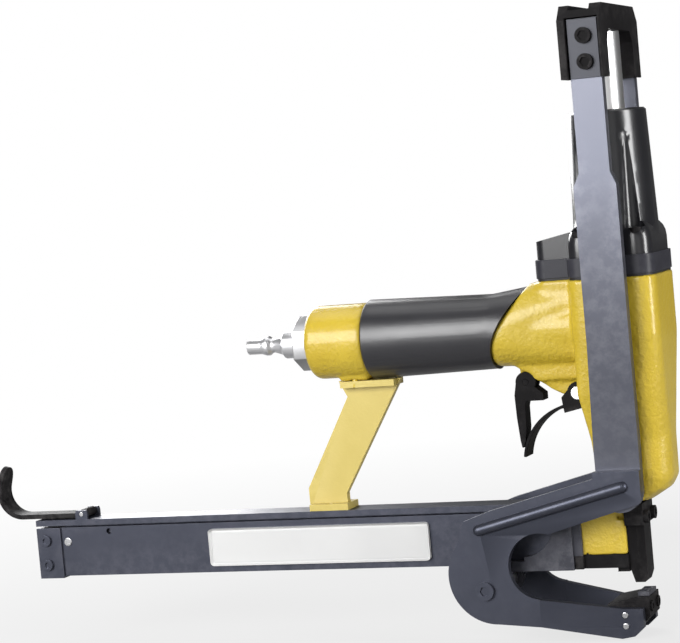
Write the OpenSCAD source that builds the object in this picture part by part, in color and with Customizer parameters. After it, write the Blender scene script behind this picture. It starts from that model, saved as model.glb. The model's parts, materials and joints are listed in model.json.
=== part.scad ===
// Pneumatic clinching plier stapler: an air cylinder on top of the head pulls two side links,
// the links swing a C-shaped lever under the nose, and the main piston then drives the staple
// onto the anvil at the lever's tip.
// Frame: the driver runs along Z at X = Y = 0, Z = 0 is the nose tip, the handle points to -X.

/* [Fits] */
// Running clearance of a shaft in its hole, on the radius
slip = 0.05; // [0.02:0.01:0.1]
// Gap between pieces that pass each other
gap = 0.3; // [0.2:0.05:0.5]

/* [Body casting] */
// Front face of the head, ahead of the driver axis
body_front = 21.4; // [21:0.1:22.4]
// Rear face of the head, behind the driver axis
body_rear = 21; // [20:0.5:23]
// Width across the head
body_w = 45; // [44.4:0.2:47]
// Corner radius of the head
body_round = 7; // [5:0.5:8]
// Top face of the casting above the nose tip
body_top = 146.6; // [144:0.2:150]
// Height where the head starts to narrow
ledge_z = 118; // [114:1:122]
// Height of the waist under the main cylinder
waist_z = 92; // [90:0.5:94]
// Width across the waist
waist_w = 40; // [39:0.5:41]
// Height where the shank turns straight
shank_z = 70; // [68:0.5:72]
// Width across the shank
shank_w = 28.4; // [26:0.2:29]
// Upper edge of the bevel at the shank's front
bevel_z = 50; // [48:0.5:53]
// Bottom of the shank
shank_bottom = 39.4; // [38.6:0.2:41]
// Width across the nose leg
leg_w = 17; // [16:0.2:18]
// Rear face of the nose leg, behind the driver axis
leg_rear = 40; // [38:0.5:42]
// Front face of the nose leg, behind the driver axis
leg_front = 5.5; // [5:0.1:6.5]

/* [Main cylinder] */
// Bore radius of the main cylinder
bore_r = 14; // [13:0.25:14.5]
// Wall of the cylinder liner
liner_wall = 2; // [1.5:0.1:2.2]
// Floor of the main cylinder above the nose tip
floor_z = 100; // [98:0.5:102]
// Thickness of the bumper under the piston
bumper_h = 8; // [6:0.5:9]
// Stroke of the driver
drive_stroke = 25.5; // [22:0.5:26]
// Height of the main piston
piston_h = 10; // [8:0.5:10]
// Width of the driver blade
blade_w = 9; // [8:0.1:9.4]
// Thickness of the driver blade
blade_t = 1.2; // [0.8:0.1:1.4]

/* [Head] */
// Thickness of the gasket under the head cap
gasket_t = 1; // [0.6:0.1:1.5]
// Height of the head cap
tier_h = 9; // [7:0.5:11]
// Height of the clinch cylinder's foot flange
cap_h = 8.4; // [7:0.2:10]
// Reach of the head's rear lobe behind the driver axis
lobe_reach = 39.2; // [37:0.2:41]
// Width of the rear lobe
lobe_w = 24; // [22:0.5:26]
// Setback of the foot flange from the cap
tier_inset = 1; // [0.6:0.1:1.4]
// Screw places on the head, from the driver axis along X
head_screw_x = 13.5; // [13.2:0.1:13.8]
// Screw places on the head, in from its sides
head_screw_inset = 5; // [4.6:0.1:5.3]

/* [Clinch cylinder] */
// Bore radius of the clinch cylinder
clinch_bore_r = 15; // [13:0.25:15.5]
// Radius at the foot of the tapered barrel
barrel_foot_r = 20.3; // [19.8:0.1:20.6]
// Radius at the top of the tapered barrel
barrel_top_r = 18.5; // [18:0.1:19]
// Height of the domed corners above the foot flange
dome_h = 7; // [5:0.5:8]
// Height of the clinch cylinder above its flange
clinch_h = 59.6; // [57:0.2:60.6]
// Wall above the clinch bore
clinch_lid = 10.6; // [8:0.2:12]
// Radius of the chromed rod
rod_r = 8.8; // [7.5:0.1:9.5]
// Height of the clinch piston
clinch_piston_h = 10; // [8:0.5:11]
// Upward travel of the rod, which shuts the jaw
rod_up = 5; // [4:0.1:5.2]
// Downward travel of the rod, which opens the jaw
rod_down = 18; // [12:0.5:18.4]

/* [Crosshead and links] */
// Width across the crosshead
cross_w = 72; // [70:0.5:76]
// Rear face of the crosshead behind the driver axis
cross_rear = 10.8; // [10.2:0.2:13]
// Front face of the crosshead ahead of the driver axis
cross_front = 9.3; // [8.9:0.1:11]
// Underside of the crosshead's legs
cross_bottom = 239.5; // [238:0.5:242]
// Height of the crosshead
cross_h = 34; // [33:0.5:37]
// Thickness of the links
link_t = 5; // [4:0.1:5.2]
// Setback of the links' outer faces in the crosshead's sides
link_sink = 3; // [2.5:0.1:3.3]
// Gap between the links' lower ends and the lever's cheeks
link_gap = 0.5; // [0.3:0.05:0.7]
// Width of the links' upper stretch
link_upper_w = 14.8; // [12:0.1:15.2]
// Width of the links' middle stretch
link_mid_w = 20.4; // [18:0.2:22]
// Width of the links' lower end
link_end_w = 21.8; // [18:0.2:22]
// Height where the links widen
link_shoulder_z = 190; // [184:0.5:196]
// Height of the links' upper bend
link_bend_z = 117; // [115:0.5:119]
// Height of the links' lower bend
link_knee_z = 65; // [64:0.5:67]
// Radius of the pins at the links' lower ends
link_pin_r = 3.5; // [2.5:0.1:3.8]

/* [Clinch lever] */
// Pivot of the lever behind the driver axis
pivot_x = 72.5; // [71:0.5:75]
// Pivot of the lever above the nose tip
pivot_z = 0.8; // [0:0.2:2]
// Pivot to the front edge of the upper arm
arm_l = 80; // [78:0.5:82]
// Pivot to the top edge of the upper arm
arm_h = 55.1; // [54:0.1:56]
// Length of the sleeves between the pivot plates and the cheeks
sleeve_l = 8.7; // [8.6:0.05:10]
// Thickness of the cheeks
cheek_t = 4; // [3.6:0.1:4.1]
// Radius of the throat
throat_r = 16; // [14.5:0.5:17]
// Radius of the lever's rounded back
back_r = 23.6; // [22:0.2:24.4]
// Distance between the cheeks' outer faces at the tip
tip_w = 28; // [27:0.2:30]
// Width of the stiffening bead
bead_w = 5.6; // [4:0.2:5.8]
// Radius of the pivot bolt
pivot_r = 4; // [3:0.1:4.5]
// Top of the clinching die below the nose tip
die_drop = 4.5; // [4.4:0.1:6]

/* [Nose] */
// Width of the driver guide at the nose tip
nose_w = 13; // [12.6:0.1:14]
// Width of the guide's upper shoulders
shoulder_w = 20; // [19:0.2:22]
// Lower edge of the shoulders above the nose tip
shoulder_z = 27.8; // [27.6:0.1:28.6]
// Height of the driver guide
guide_h = 38; // [37:0.2:39]
// Thickness of the front plate ahead of the driver axis
front_t = 3; // [2.8:0.1:4]
// Thickness of the base plate under the nose leg
base_t = 6.4; // [5:0.1:7]
// Thickness of the pivot plates
pivot_plate_t = 3.5; // [3:0.1:3.6]

/* [Magazine] */
// Width across the channel
channel_w = 14; // [13.4:0.1:14.4]
// Wall of the channel
channel_t = 1.2; // [0.8:0.1:1.3]
// Underside of the channel above the nose tip
channel_z = 10; // [9.8:0.1:10.4]
// Height of the channel
channel_h = 25.5; // [25.2:0.1:25.6]
// Front end of the channel behind the driver axis
channel_front = 42; // [42:0.5:48]
// Rear end of the channel behind the driver axis
channel_rear = 309; // [290:1:330]
// Length of the end block
end_block_l = 14; // [10:0.5:16]
// Width across the staple core
core_w = 7.2; // [6.6:0.1:7.4]
// Height of the staple core
core_h = 11.2; // [10:0.1:11.4]
// Width of the top rail
rail_w = 16; // [14:0.2:17]
// Thickness of the top rail
rail_t = 3; // [2.6:0.1:3.4]
// Way that the pusher can be pressed back
pusher_travel = 140; // [80:5:180]

/* [Handle] */
// Height of the handle axis above the nose tip
handle_z = 123.4; // [123:0.2:124.4]
// Rear end of the handle behind the driver axis
handle_rear = 158.5; // [154:0.5:162]
// Length of the bare rear end
handle_end_l = 30.5; // [28:0.5:34]
// Radius of the bare rear end
handle_end_r = 18.3; // [17:0.1:19]
// Radius of the handle's core under the grip
handle_core_r = 15; // [13.5:0.1:15.5]
// Radius of the grip at its rear
grip_rear_r = 19.6; // [18:0.1:20.4]
// Radius of the grip at its front
grip_front_r = 18.2; // [17.4:0.1:18.8]
// Foremost point of the grip's slanted end, behind the driver axis
grip_tip_x = 44.6; // [43:0.2:46]
// Deepest point of the grip's slanted end, behind the driver axis
grip_dip_x = 63.2; // [61:0.2:65]
// Across flats of the inlet bush
inlet_af = 24; // [20:0.5:25]
// Length of the inlet bush's hexagon
inlet_l = 8; // [6:0.5:10]
// Length of the air plug
plug_l = 28.5; // [26:0.5:34]
// Radius of the air plug's tip
plug_tip_r = 4; // [3.5:0.1:4.5]
// Thickness of the strut between handle and magazine
strut_t = 4; // [3:0.2:5]

/* [Trigger] */
// Trigger pin behind the driver axis
trigger_x = 24; // [23.6:0.1:25]
// Trigger pin above the nose tip
trigger_z = 91.9; // [91:0.1:92.4]
// Radius of the trigger pin
trigger_pin_r = 2; // [1.5:0.1:2.2]
// Thickness of the trigger's sheet
trigger_t = 1.5; // [1.2:0.1:1.8]
// Width across the trigger
trigger_w = 11.6; // [11:0.1:12.4]
// Radius of the trigger's curve
trigger_curve_r = 27.6; // [27:0.1:28]
// Catch pin behind the driver axis
catch_x = 50.1; // [49.6:0.1:50.6]
// Catch pin above the nose tip
catch_z = 98.2; // [97.8:0.1:98.6]
// Radius of the catch's hub
catch_r = 5; // [4.6:0.1:5.2]
// Length of the catch from its pin
catch_l = 31.7; // [30:0.1:32]
// Width across the catch
catch_w = 8.4; // [7.6:0.2:9]

/* [Latch] */
// Latch pin ahead of the channel's rear end
latch_inset = 13; // [9:0.5:24]
// Width of the latch strip
latch_w = 11.4; // [9:0.2:11.8]
// Thickness of the latch strip
latch_t = 2.4; // [1.6:0.1:2.6]
// Radius of the latch's finger hook
hook_r = 13; // [10:0.5:15]
// Middle of the finger hook behind the channel's rear end
hook_reach = 22.5; // [19:0.5:29]

/* [Hidden] */
$fn = 48;

// Overrun of every cut past the face that it opens
overrun = 2;
// Thickness of a slice at either end of a blended stretch
skin = 0.2;
// Facets of the discs in a blend
blend_fn = 32;

// Body casting
waist_setback = 1.2;
waist_front = body_front - waist_setback;
shank_setback = 1.8;
shank_front = body_front - shank_setback;
bevel_setback = 2;
bevel_front = body_front - bevel_setback;
shank_toe = 7.5;
bevel_bulge = 3;
shank_round = 10;
shank_rear_round = 3;
waist_rear = body_rear;
shank_rear = 18;
shank_heel = 15;
leg_foot = 3.9;
leg_bottom = channel_z + leg_foot;
leg_rise = 1.1;
leg_top = channel_z + channel_h + leg_rise;
passage_w = 10.8;
passage_gap = 0.9;
lobe_round = 6;
neck_r = 17.3;
neck_x = 66;
neck_round = 8;
neck_low = handle_z - neck_r;
lug_w = 8;
lug_upper_w = 14;
lug_upper_rise = 6.6;
lug_upper_z = trigger_z + lug_upper_rise;
lug_tongue_w = 3.6;
lug_hub_r = 4.5;
air_r = 8;
air_front = 46;
inlet_thread_r = 9;
inlet_thread_l = 12;
chamfer = 2;

// Main cylinder
liner_r = bore_r + liner_wall;
piston_z = floor_z + bumper_h + gap + drive_stroke;
bumper_hole_r = 6;
seal_h = 3;
seal_depth = 2.2;
blade_gap = 0.2;
blade_rest = 1.9;
blade_tip_z = drive_stroke + blade_rest;
blade_seat = 6;
blade_pin_r = 1.2;

// Head
gasket_top = body_top + gasket_t;
tier_z = gasket_top + tier_h;
cap_top = tier_z + cap_h;
clinch_top = cap_top + clinch_h;
dome_drop = 2;
dome_inset = 6;
dome_steps = 5;
lobe_rise = 3.6;
flute_r = 4.8;
flute_top_r = 2.9;
head_screw_y = body_w / 2 - head_screw_inset;
head_screw_r = 2.5;
head_screw_depth = 18;
head_screw_head_r = 3.2;
head_screw_head_h = 4;
rim_bevel = 1;

// Clinch rod
bush_wall = 2.5;
bush_r = rod_r + bush_wall;
clinch_floor_gap = 1;
clinch_piston_z = cap_top + rod_down + clinch_floor_gap;
spigot_r = 5;
rod_cover = 5;
rod_top = cross_bottom + cross_h - rod_cover;

// Crosshead and links
cross_top = cross_bottom + cross_h;
cross_bevel_y = 6;
cross_bevel_z = 7;
cross_leg_t = 4.5;
cross_arch_h = 22;
cross_arch_z = cross_bottom + cross_arch_h;
cross_arch_low_h = 17;
cross_arch_low_z = cross_bottom + cross_arch_low_h;
cross_arch_bevel = 4;
cross_rib_t = 4.5;
cross_hood_t = 5.5;
cross_saddle = 2.4;
link_upper_x = 0.4;
link_mid_x = 0.1;
link_play = 0.5;
link_cover = 6.5;
link_top_z = cross_top - link_cover;
link_shoulder_h = 6;
lever_w = leg_w + 2 * (pivot_plate_t + gap + sleeve_l + cheek_t);
link_top_w = cross_w - 2 * link_sink;
link_low_w = 2 * (lever_w / 2 - cheek_t - link_gap);
link_in = link_top_w / 2 - link_t;
link_screw_r = 2.5;
link_screw_head_r = 3.7;
link_screw_head_h = 2;
link_screw_x = link_upper_x + link_play;
link_pad_t = 0.9;
link_pad_inset = 0.3;
link_screw_drop = 8;
link_screw_pitch = 12;
link_screw_z = [link_top_z - link_screw_drop, link_top_z - link_screw_drop - link_screw_pitch];

// Clinch lever
pin_x = -3.75;
pin_z = 46.5;
pin_dx = pin_x + pivot_x;
pin_dz = pin_z - pivot_z;
lever_ratio = pin_dx / (pin_dx * pin_dx + pin_dz * pin_dz);
cheek_in = lever_w / 2 - cheek_t;
slot_depth = 3.2;
slot_steps = 12;
throat_x = 28.5;
throat_z = 11.1;
back_x = 5.5;
back_z = 7.2;
crease_x = 26.5;
arm_end = 1;
low_arm_l = pivot_x + arm_end;
low_arm_h = 26;
arm_shares = [[-0.105, 0.612], [0.051, 0.692], [0.7175, 0.942], [0.7175, 1], [1, 1], [1, 0.745],
    [0.984, 0.714], [0.4125, 0.477]];
low_arm_top_shares = [[0.88, -0.45], [1, -0.47]];
low_arm_bottom_shares = [[1, -0.82], [0.94, -0.97], [0.86, -1]];
root_top = 4.3;
root_bottom = 18.1;
bead_shares = [[-0.012, 0.533], [0.892, 0.867]];
bead_rise = 2.6;
bead_end_share = 0.97;
sleeve_r = 6.5;
spacer_r = 6.2;
bolt_head_r = 4.5;
bolt_head_h = 1.8;
bolt_socket_r = 2.4;
anvil_rear = 16;
anvil_front = 3.3;
die_t = 2;
anvil_top = -die_drop - die_t;
anvil_drop = 2.5;
anvil_h = 15.5;
anvil_bevel = 6;
die_rear = 4.5;
die_front = 3;
die_w = 14;
die_groove_r = 2.4;
die_groove_y = 3.6;
anvil_pin_r = 1.5;
anvil_pin_proud = 0.3;
anvil_pin_x = -7.2;
anvil_pin_z = [-14, -19.3];
anvil_screw_r = 2.6;
anvil_screw_y = 6;
anvil_screw_z = -11.5;

// Nose
channel_gap = blade_t / 2 + blade_gap;
tip_bevel_x = 3.2;
tip_bevel_z = 4;
front_bevel_x = 1.5;
front_bevel_z = 4;
front_shoulder_t = 0.8;
window_lip = 0.7;
window_w = passage_w - 2 * window_lip;
front_screw_y = 6.6;
front_screw_z = 31.6;
front_screw_r = 1.6;
front_screw_l = 5;
button_r = 3.2;
button_h = 2.2;
base_rear = 31;
ear_front = 27;
ear_t = 2.2;
ear_drop = 3;
base_step_l = 6;
base_step_h = 2.2;
base_screw_r = 1.1;
base_screw_grip = 3.2;
base_screw_head_r = 1.4;
base_screw_head_h = 1.6;
base_screw_sink = 1.8;
base_screw_x = [-25, -12];
base_screw_y = 7;
plate_front = 31.3;
plate_low = 7.3;
plate_heel = 62;
plate_lug_r = 8.5;
plate_bar_top = 12.4;
plate_arc_x = 56;
plate_arc_z = 29.5;
plate_arc_r = 15;
plate_screw_x = 35.6;
plate_screw_drop = 3.6;
plate_screw_z = leg_top - plate_screw_drop;
leg_screw_r = 1.8;
leg_screw_head_r = 2.9;
leg_screw_head_h = 2;
leg_screw_l = 7;

// Magazine
channel_top = channel_z + channel_h;
lip_t = 1.5;
rail_z = leg_top;
rail_top = rail_z + rail_t;
rail_front = 17;
rail_web_w = 6;
rail_foot_w = 10;
rail_foot_t = 1.7;
lip_gap = 0.4;
core_z = leg_bottom + gap;
core_wall = 0.8;
core_top = core_z + core_h;
core_nose_gap = 0.8;
core_front = channel_gap + core_nose_gap;
core_slot_w = 2;
core_web_w = 3;
end_block_lip = 1.2;
end_block_w = channel_w + 2 * end_block_lip;
end_block_drop = 1;
end_bolt_r = 3;
end_bolt_h = 1.4;
end_bolt_share = 0.62;
end_bolt_z = [16.2, 29];
channel_pin_r = 2.2;
channel_pin_inset = 3.5;
channel_pin_x = channel_rear - channel_pin_inset;
channel_pin_z = core_top + gap + channel_pin_r;
channel_pin_rise = 0.5;
notch_r = 1.5;
notch_inset = 28;
notch_x = channel_rear - notch_inset;
notch_drop = 2.6;
notch_z = channel_top - notch_drop;
feed_rod_r = 1.1;
feed_z = core_z + core_h / 2;
spring_r = 2.5;
spring_wire = 0.8;
pusher_l = 24;
pusher_nose_gap = 0.4;
pusher_front = leg_front + gap + pusher_nose_gap;
pusher_wall = 1.2;
pusher_skirt = 10;
pusher_head = 1.2;
rail_screw_x = [-23, -34];

// Handle
grip_steps = 14;
grip_edge_share = 1.3;
grip_tip_rise = 20.8;
grip_tip_z = handle_z + grip_tip_rise;
grip_dip_drop = 13.9;
grip_dip_z = handle_z - grip_dip_drop;
grip_round = 0.8;
grip_flare_r = 21;
grip_waist_x = 64;
plug_thread_r = 6;
plug_thread_l = 6;
plug_bore_r = 2.5;
plug_tip_l = 7;
plug_neck_r = 3.6;
plug_collar_r = 5.2;
plug_bead_r = 4.9;
plug_root_r = 7;
plug_shares = [0.28, 0.33, 0.5, 0.54, 0.6, 0.66];
strut_pad_w = 14;
strut_pad_drop = 1.5;
strut_top_z = handle_z - handle_end_r - strut_pad_drop;
strut_flange_t = 3.2;
strut_screw_sink = 1.8;
strut_foot_front = 146.5;
strut_foot_rear = 167;
strut_foot_w = 15;
strut_kink_h = 11;
strut_front_kink_h = 8;
strut_front_x = 114.5;
strut_rear_x = 147.5;
strut_pad_front = 130;
strut_pad_rear = 145;
strut_flange_front = 116.5;
strut_low_front = 148.4;
strut_low_rear = 168.8;
strut_screw_r = 1.5;
strut_screw_head_r = 2.4;
strut_screw_head_h = 1.6;
strut_screw_l = 7;
strut_top_screw_y = 4.6;
strut_top_screw_x = -137.5;
strut_foot_screw_y = 4.6;
strut_foot_screw_x = -157;

// Trigger
trigger_hub_r = 5.4;
trigger_curve_back = 1.5;
trigger_curve_x = trigger_x + trigger_curve_back;
trigger_curve_drop = 33.2;
trigger_curve_z = trigger_z - trigger_curve_drop;
trigger_root_angle = 88;
trigger_tip_angle = 173;
trigger_ear_shares = [[-0.96, 0.28], [-1.57, -0.35], [-1.39, -1.74], [0.2, -1.4], [0.85, -0.4]];
trigger_pin_head_r = 3.2;
trigger_pin_head_h = 1.2;
catch_pin_r = 1.5;
catch_shares = [[-0.98, 0], [-1.22, -0.196], [-1.16, -0.543], [-0.98, -0.89], [-0.86, -1], [-0.7, -1],
    [-0.48, -0.905], [-0.26, -0.7], [-0.24, -0.385], [0.22, -0.1], [0.96, 0]];
block_shares = [[-0.48, -0.085], [0.82, -0.07], [1.68, -0.18], [1.68, -0.29], [-0.48, -0.29]];
stem_x = 29;
stem_r = 1.4;
stem_rise = 9;
stem_top = trigger_z + stem_rise;
stem_guide_r = 2.6;
valve_rise = 12;
valve_top = trigger_z + valve_rise;
valve_start = 1.2;
valve_low = trigger_z + valve_start;

// Latch
latch_x = channel_rear - latch_inset;
hook_x = channel_rear + hook_reach;
latch_rise = 2.7;
latch_z = rail_top + latch_rise;
latch_pin_r = 1.2;
latch_hub_r = 2.3;
latch_lug_t = 1.6;
latch_lug_l = 7;
latch_lug_h = 4.7;
hook_end_angle = 165;
hook_tail_l = 5;
latch_rest = 0.3;
hook_steps = 16;
strip_z = latch_z - latch_hub_r + latch_t / 2 + latch_rest;
hook_centre = [-hook_x, strip_z + hook_r];

// A flat outline in X and Z, thickened from y0 to y1
module yslab(y0, y1) {
    translate([0, y1, 0]) rotate([90, 0, 0]) linear_extrude(y1 - y0) children();
}

// A flat outline in Y and Z, thickened from x0 to x1
module xslab(x0, x1) {
    translate([x0, 0, 0]) rotate([90, 0, 90]) linear_extrude(x1 - x0) children();
}

// A flat outline in X and Y, thickened from z0 to z1
module zslab(z0, z1) {
    translate([0, 0, z0]) linear_extrude(z1 - z0) children();
}

module xrod(x0, x1, r) {
    translate([x0, 0, 0]) rotate([0, 90, 0]) cylinder(h = x1 - x0, r = r);
}

module yrod(y0, y1, r) {
    translate([0, y0, 0]) rotate([-90, 0, 0]) cylinder(h = y1 - y0, r = r);
}

module zrod(z0, z1, r) {
    translate([0, 0, z0]) cylinder(h = z1 - z0, r = r);
}

module box(x0, x1, y0, y1, z0, z1) {
    translate([x0, y0, z0]) cube([x1 - x0, y1 - y0, z1 - z0]);
}

module rect(x0, x1, y0, y1) {
    translate([x0, y0]) square([x1 - x0, y1 - y0]);
}

module round_rect(x0, x1, y0, y1, r) {
    rect(x0 + r, x1 - r, y0, y1);
    rect(x0, x1, y0 + r, y1 - r);
    for (x = [x0 + r, x1 - r], y = [y0 + r, y1 - r]) translate([x, y]) circle(r);
}

// Part of a ring between two angles
module ring_sector(r0, r1, a0, a1) {
    reach = 2 * r1;
    mid = (a0 + a1) / 2;
    intersection() {
        difference() {
            circle(r1);
            circle(r0);
        }
        polygon([[0, 0], reach * [cos(a0), sin(a0)], reach * [cos(mid), sin(mid)],
            reach * [cos(a1), sin(a1)]]);
    }
}

module both_sides() {
    children();
    mirror([0, 1, 0]) children();
}

// Socket-head screw whose head stands on z = 0 and whose shank runs down
module socket_screw(head_r, head_h, shank_r, shank_l) {
    socket_r = shank_r;
    difference() {
        cylinder(h = head_h, r = head_r);
        translate([0, 0, head_h / 2]) cylinder(h = head_h, r = socket_r, $fn = 6);
    }
    translate([0, 0, -shank_l]) cylinder(h = shank_l, r = shank_r);
}

module at_head_screws() {
    for (x = [-head_screw_x, head_screw_x], y = [-head_screw_y, head_screw_y])
        translate([x, y, 0]) children();
}

// Body casting

module head_plan(inset) {
    round_rect(-body_rear + inset, body_front - inset, -body_w / 2 + inset, body_w / 2 - inset, body_round);
    round_rect(-lobe_reach + inset, 0, -lobe_w / 2 + inset, lobe_w / 2 - inset, lobe_round);
}

// One slice of the casting, rounded more at the front than at the rear
module slice(z, front, rear, w, front_round, rear_round) {
    for (s = [-1, 1]) {
        translate([front - front_round, s * (w / 2 - front_round), z])
            cylinder(h = skin, r = front_round, $fn = blend_fn);
        translate([-rear + rear_round, s * (w / 2 - rear_round), z])
            cylinder(h = skin, r = rear_round, $fn = blend_fn);
    }
}

module waist_slice() {
    slice(waist_z, waist_front, waist_rear, waist_w, shank_round, shank_rear_round);
}

module shank_slice() {
    slice(shank_z, shank_front, shank_rear, shank_w, shank_round, shank_rear_round);
}

module shank() {
    hull() {
        slice(ledge_z, body_front, body_rear, body_w, body_round, body_round);
        waist_slice();
    }
    hull() {
        waist_slice();
        shank_slice();
    }
    hull() {
        shank_slice();
        slice(bevel_z, bevel_front, shank_heel, shank_w, shank_round, shank_rear_round);
        slice((bevel_z + shank_bottom) / 2, (bevel_front + shank_toe) / 2 + bevel_bulge, shank_heel,
            shank_w - chamfer / 4, shank_round, shank_rear_round);
        slice(shank_bottom, shank_toe, shank_heel, shank_w - chamfer, shank_round, shank_rear_round);
    }
}

// Everything ahead of the grip's slanted front end, in X and Z
module ahead_of_grip() {
    fall = grip_tip_z - grip_dip_z;
    edge = [for (i = [0 : grip_steps]) let (u = grip_edge_share * i / grip_steps)
        [-grip_tip_x - (grip_dip_x - grip_tip_x) * sin(90 * u), grip_tip_z - fall * u]];
    top = grip_tip_z + fall;
    low = grip_tip_z - 2 * fall;
    polygon(concat([[0, low], [0, top], [-grip_tip_x, top]], edge, [[-grip_dip_x, low]]));
}

module neck() {
    intersection() {
        hull() {
            translate([0, 0, handle_z]) rotate([0, -90, 0]) translate([0, 0, neck_x])
                cylinder(h = skin, r = neck_r, $fn = blend_fn);
            xslab(-lobe_reach, -lobe_reach + lobe_round)
                round_rect(-lobe_w / 2, lobe_w / 2, neck_low, body_top - skin, neck_round);
            xslab(-body_rear, -body_rear + lobe_round)
                round_rect(-lobe_w / 2, lobe_w / 2, neck_low, body_top - skin, neck_round);
        }
        yslab(-body_w, body_w) ahead_of_grip();
    }
}

module lug_outline() {
    lug_top = handle_z - neck_r / 2;
    polygon([[-neck_x + lobe_round * 2, lug_top], [-catch_x - catch_r, neck_low + chamfer / 2],
        [-(trigger_x + catch_x) / 2, trigger_z + chamfer], [-trigger_x - trigger_hub_r, trigger_z - chamfer],
        [-body_rear + lug_hub_r, trigger_z - chamfer], [-body_rear + lug_hub_r, lug_top]]);
}

module trigger_lug() {
    yslab(-lug_w / 2, lug_w / 2) {
        lug_outline();
        translate([-trigger_x, trigger_z]) circle(lug_hub_r);
    }
    intersection() {
        yslab(-lug_upper_w / 2, lug_upper_w / 2) lug_outline();
        box(-neck_x, 0, -body_w, body_w, lug_upper_z, handle_z);
    }
    yslab(-lug_tongue_w / 2, lug_tongue_w / 2) {
        translate([-catch_x, catch_z]) circle(catch_r - chamfer / 2);
        rect(-catch_x - catch_r + chamfer, -catch_x + catch_r - chamfer, catch_z, handle_z - neck_r / 2);
    }
}

module handle_core() {
    translate([0, 0, handle_z]) {
        xrod(-handle_rear + handle_end_l - skin, -body_rear, handle_core_r);
        xrod(-handle_rear + chamfer, -handle_rear + handle_end_l, handle_end_r);
        translate([-handle_rear, 0, 0]) rotate([0, 90, 0])
            cylinder(h = chamfer, r1 = handle_end_r - chamfer, r2 = handle_end_r);
    }
    box(-strut_pad_rear, -strut_pad_front, -strut_pad_w / 2, strut_pad_w / 2, strut_top_z, handle_z);
}

module casting_cuts() {
    zrod(floor_z, body_top + overrun, liner_r + slip);
    box(-channel_gap - blade_gap, channel_gap + blade_gap, -blade_w / 2 - blade_gap, blade_w / 2 + blade_gap,
        shank_bottom - overrun, floor_z + overrun);
    at_head_screws() zrod(body_top - head_screw_depth, body_top + overrun, head_screw_r + slip);
    translate([0, 0, handle_z]) {
        xrod(-handle_rear - overrun, -air_front, air_r);
        xrod(-handle_rear - overrun, -handle_rear + inlet_thread_l, inlet_thread_r + slip);
    }
    translate([-stem_x, 0, 0]) zrod(trigger_z - 2 * lug_hub_r, valve_top, stem_guide_r + slip);
    translate([-trigger_x, 0, trigger_z]) yrod(-body_w, body_w, trigger_pin_r + slip);
    both_sides() translate([-trigger_x, 0, trigger_z])
        yrod(lug_w / 2, trigger_w / 2 + trigger_pin_head_h + 2 * gap, trigger_hub_r + gap);
    translate([-catch_x, 0, catch_z]) yrod(-body_w, body_w, catch_pin_r + slip);
    both_sides() translate([-catch_x, 0, catch_z]) yrod(lug_tongue_w / 2, body_w, catch_r + gap);
    at_rail_screws() zrod(rail_top - leg_screw_l, leg_top + overrun, leg_screw_r + slip);
    at_front_screws() xrod(-leg_front - front_screw_l, 0, front_screw_r + slip);
    at_base_screws() zrod(passage_z - overrun, passage_z + base_screw_grip, base_screw_r + slip);
    both_sides() at_plate_screws() yrod(leg_w / 2 - leg_screw_l + pivot_plate_t, leg_w, leg_screw_r + slip);
    at_strut_top_screws() zrod(strut_top_z - overrun, strut_top_z + strut_screw_l, strut_screw_r + slip);
}

module body_casting() color("goldenrod") difference() {
    union() {
        zslab(ledge_z, body_top) round_rect(-body_rear, body_front, -body_w / 2, body_w / 2, body_round);
        zslab(handle_z, body_top) round_rect(-lobe_reach, 0, -lobe_w / 2, lobe_w / 2, lobe_round);
        shank();
        neck();
        box(-leg_rear, -leg_front, -leg_w / 2, leg_w / 2, passage_z, leg_top);
        box(-shank_heel, -leg_front, -leg_w / 2, leg_w / 2, passage_z, shank_bottom + overrun);
        trigger_lug();
        handle_core();
    }
    casting_cuts();
}

// Main cylinder

module cylinder_liner() color("silver") difference() {
    zrod(floor_z, body_top, liner_r);
    zrod(floor_z - overrun, body_top + overrun, bore_r);
}

module bumper() color("darkslategray") difference() {
    zrod(floor_z, floor_z + bumper_h, bore_r - slip);
    zrod(floor_z - overrun, floor_z + bumper_h + overrun, bumper_hole_r);
}

module main_piston() color("silver") difference() {
    zrod(piston_z, piston_z + piston_h, bore_r - slip);
    piston_groove(bore_r, piston_z + piston_h / 2);
    box(-blade_t / 2 - slip, blade_t / 2 + slip, -blade_w / 2 - slip, blade_w / 2 + slip, piston_z - overrun,
        piston_z + blade_seat + slip);
    translate([0, 0, piston_z + blade_seat / 2]) xrod(-bore_r, bore_r, blade_pin_r + slip);
}

// Groove for a seal round a piston, centred on z
module piston_groove(r, z) {
    difference() {
        zrod(z - seal_h / 2 - slip, z + seal_h / 2 + slip, r + overrun);
        zrod(z - seal_h, z + seal_h, r - seal_depth - slip);
    }
}

module seal_ring(r, z) {
    difference() {
        zrod(z - seal_h / 2, z + seal_h / 2, r - slip / 2);
        zrod(z - seal_h, z + seal_h, r - seal_depth);
    }
}

module piston_seal() color("black") seal_ring(bore_r, piston_z + piston_h / 2);

module driver_blade() color("gainsboro") difference() {
    box(-blade_t / 2, blade_t / 2, -blade_w / 2, blade_w / 2, blade_tip_z, piston_z + blade_seat);
    translate([0, 0, piston_z + blade_seat / 2]) xrod(-bore_r, bore_r, blade_pin_r + slip);
}

module blade_pin() color("dimgray") translate([0, 0, piston_z + blade_seat / 2])
    xrod(-bore_r + 2 * seal_depth, bore_r - 2 * seal_depth, blade_pin_r);

// Head

module head_gasket() color("dimgray") difference() {
    zslab(body_top, gasket_top) head_plan(tier_inset / 2);
    zrod(body_top - overrun, gasket_top + overrun, bore_r);
    at_head_screws() zrod(body_top - overrun, gasket_top + overrun, head_screw_r + slip);
}

module head_cap() color("dimgray") difference() {
    zslab(gasket_top, tier_z) head_plan(0);
    at_head_screws() zrod(gasket_top - overrun, tier_z + overrun, head_screw_r + slip);
}

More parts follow.
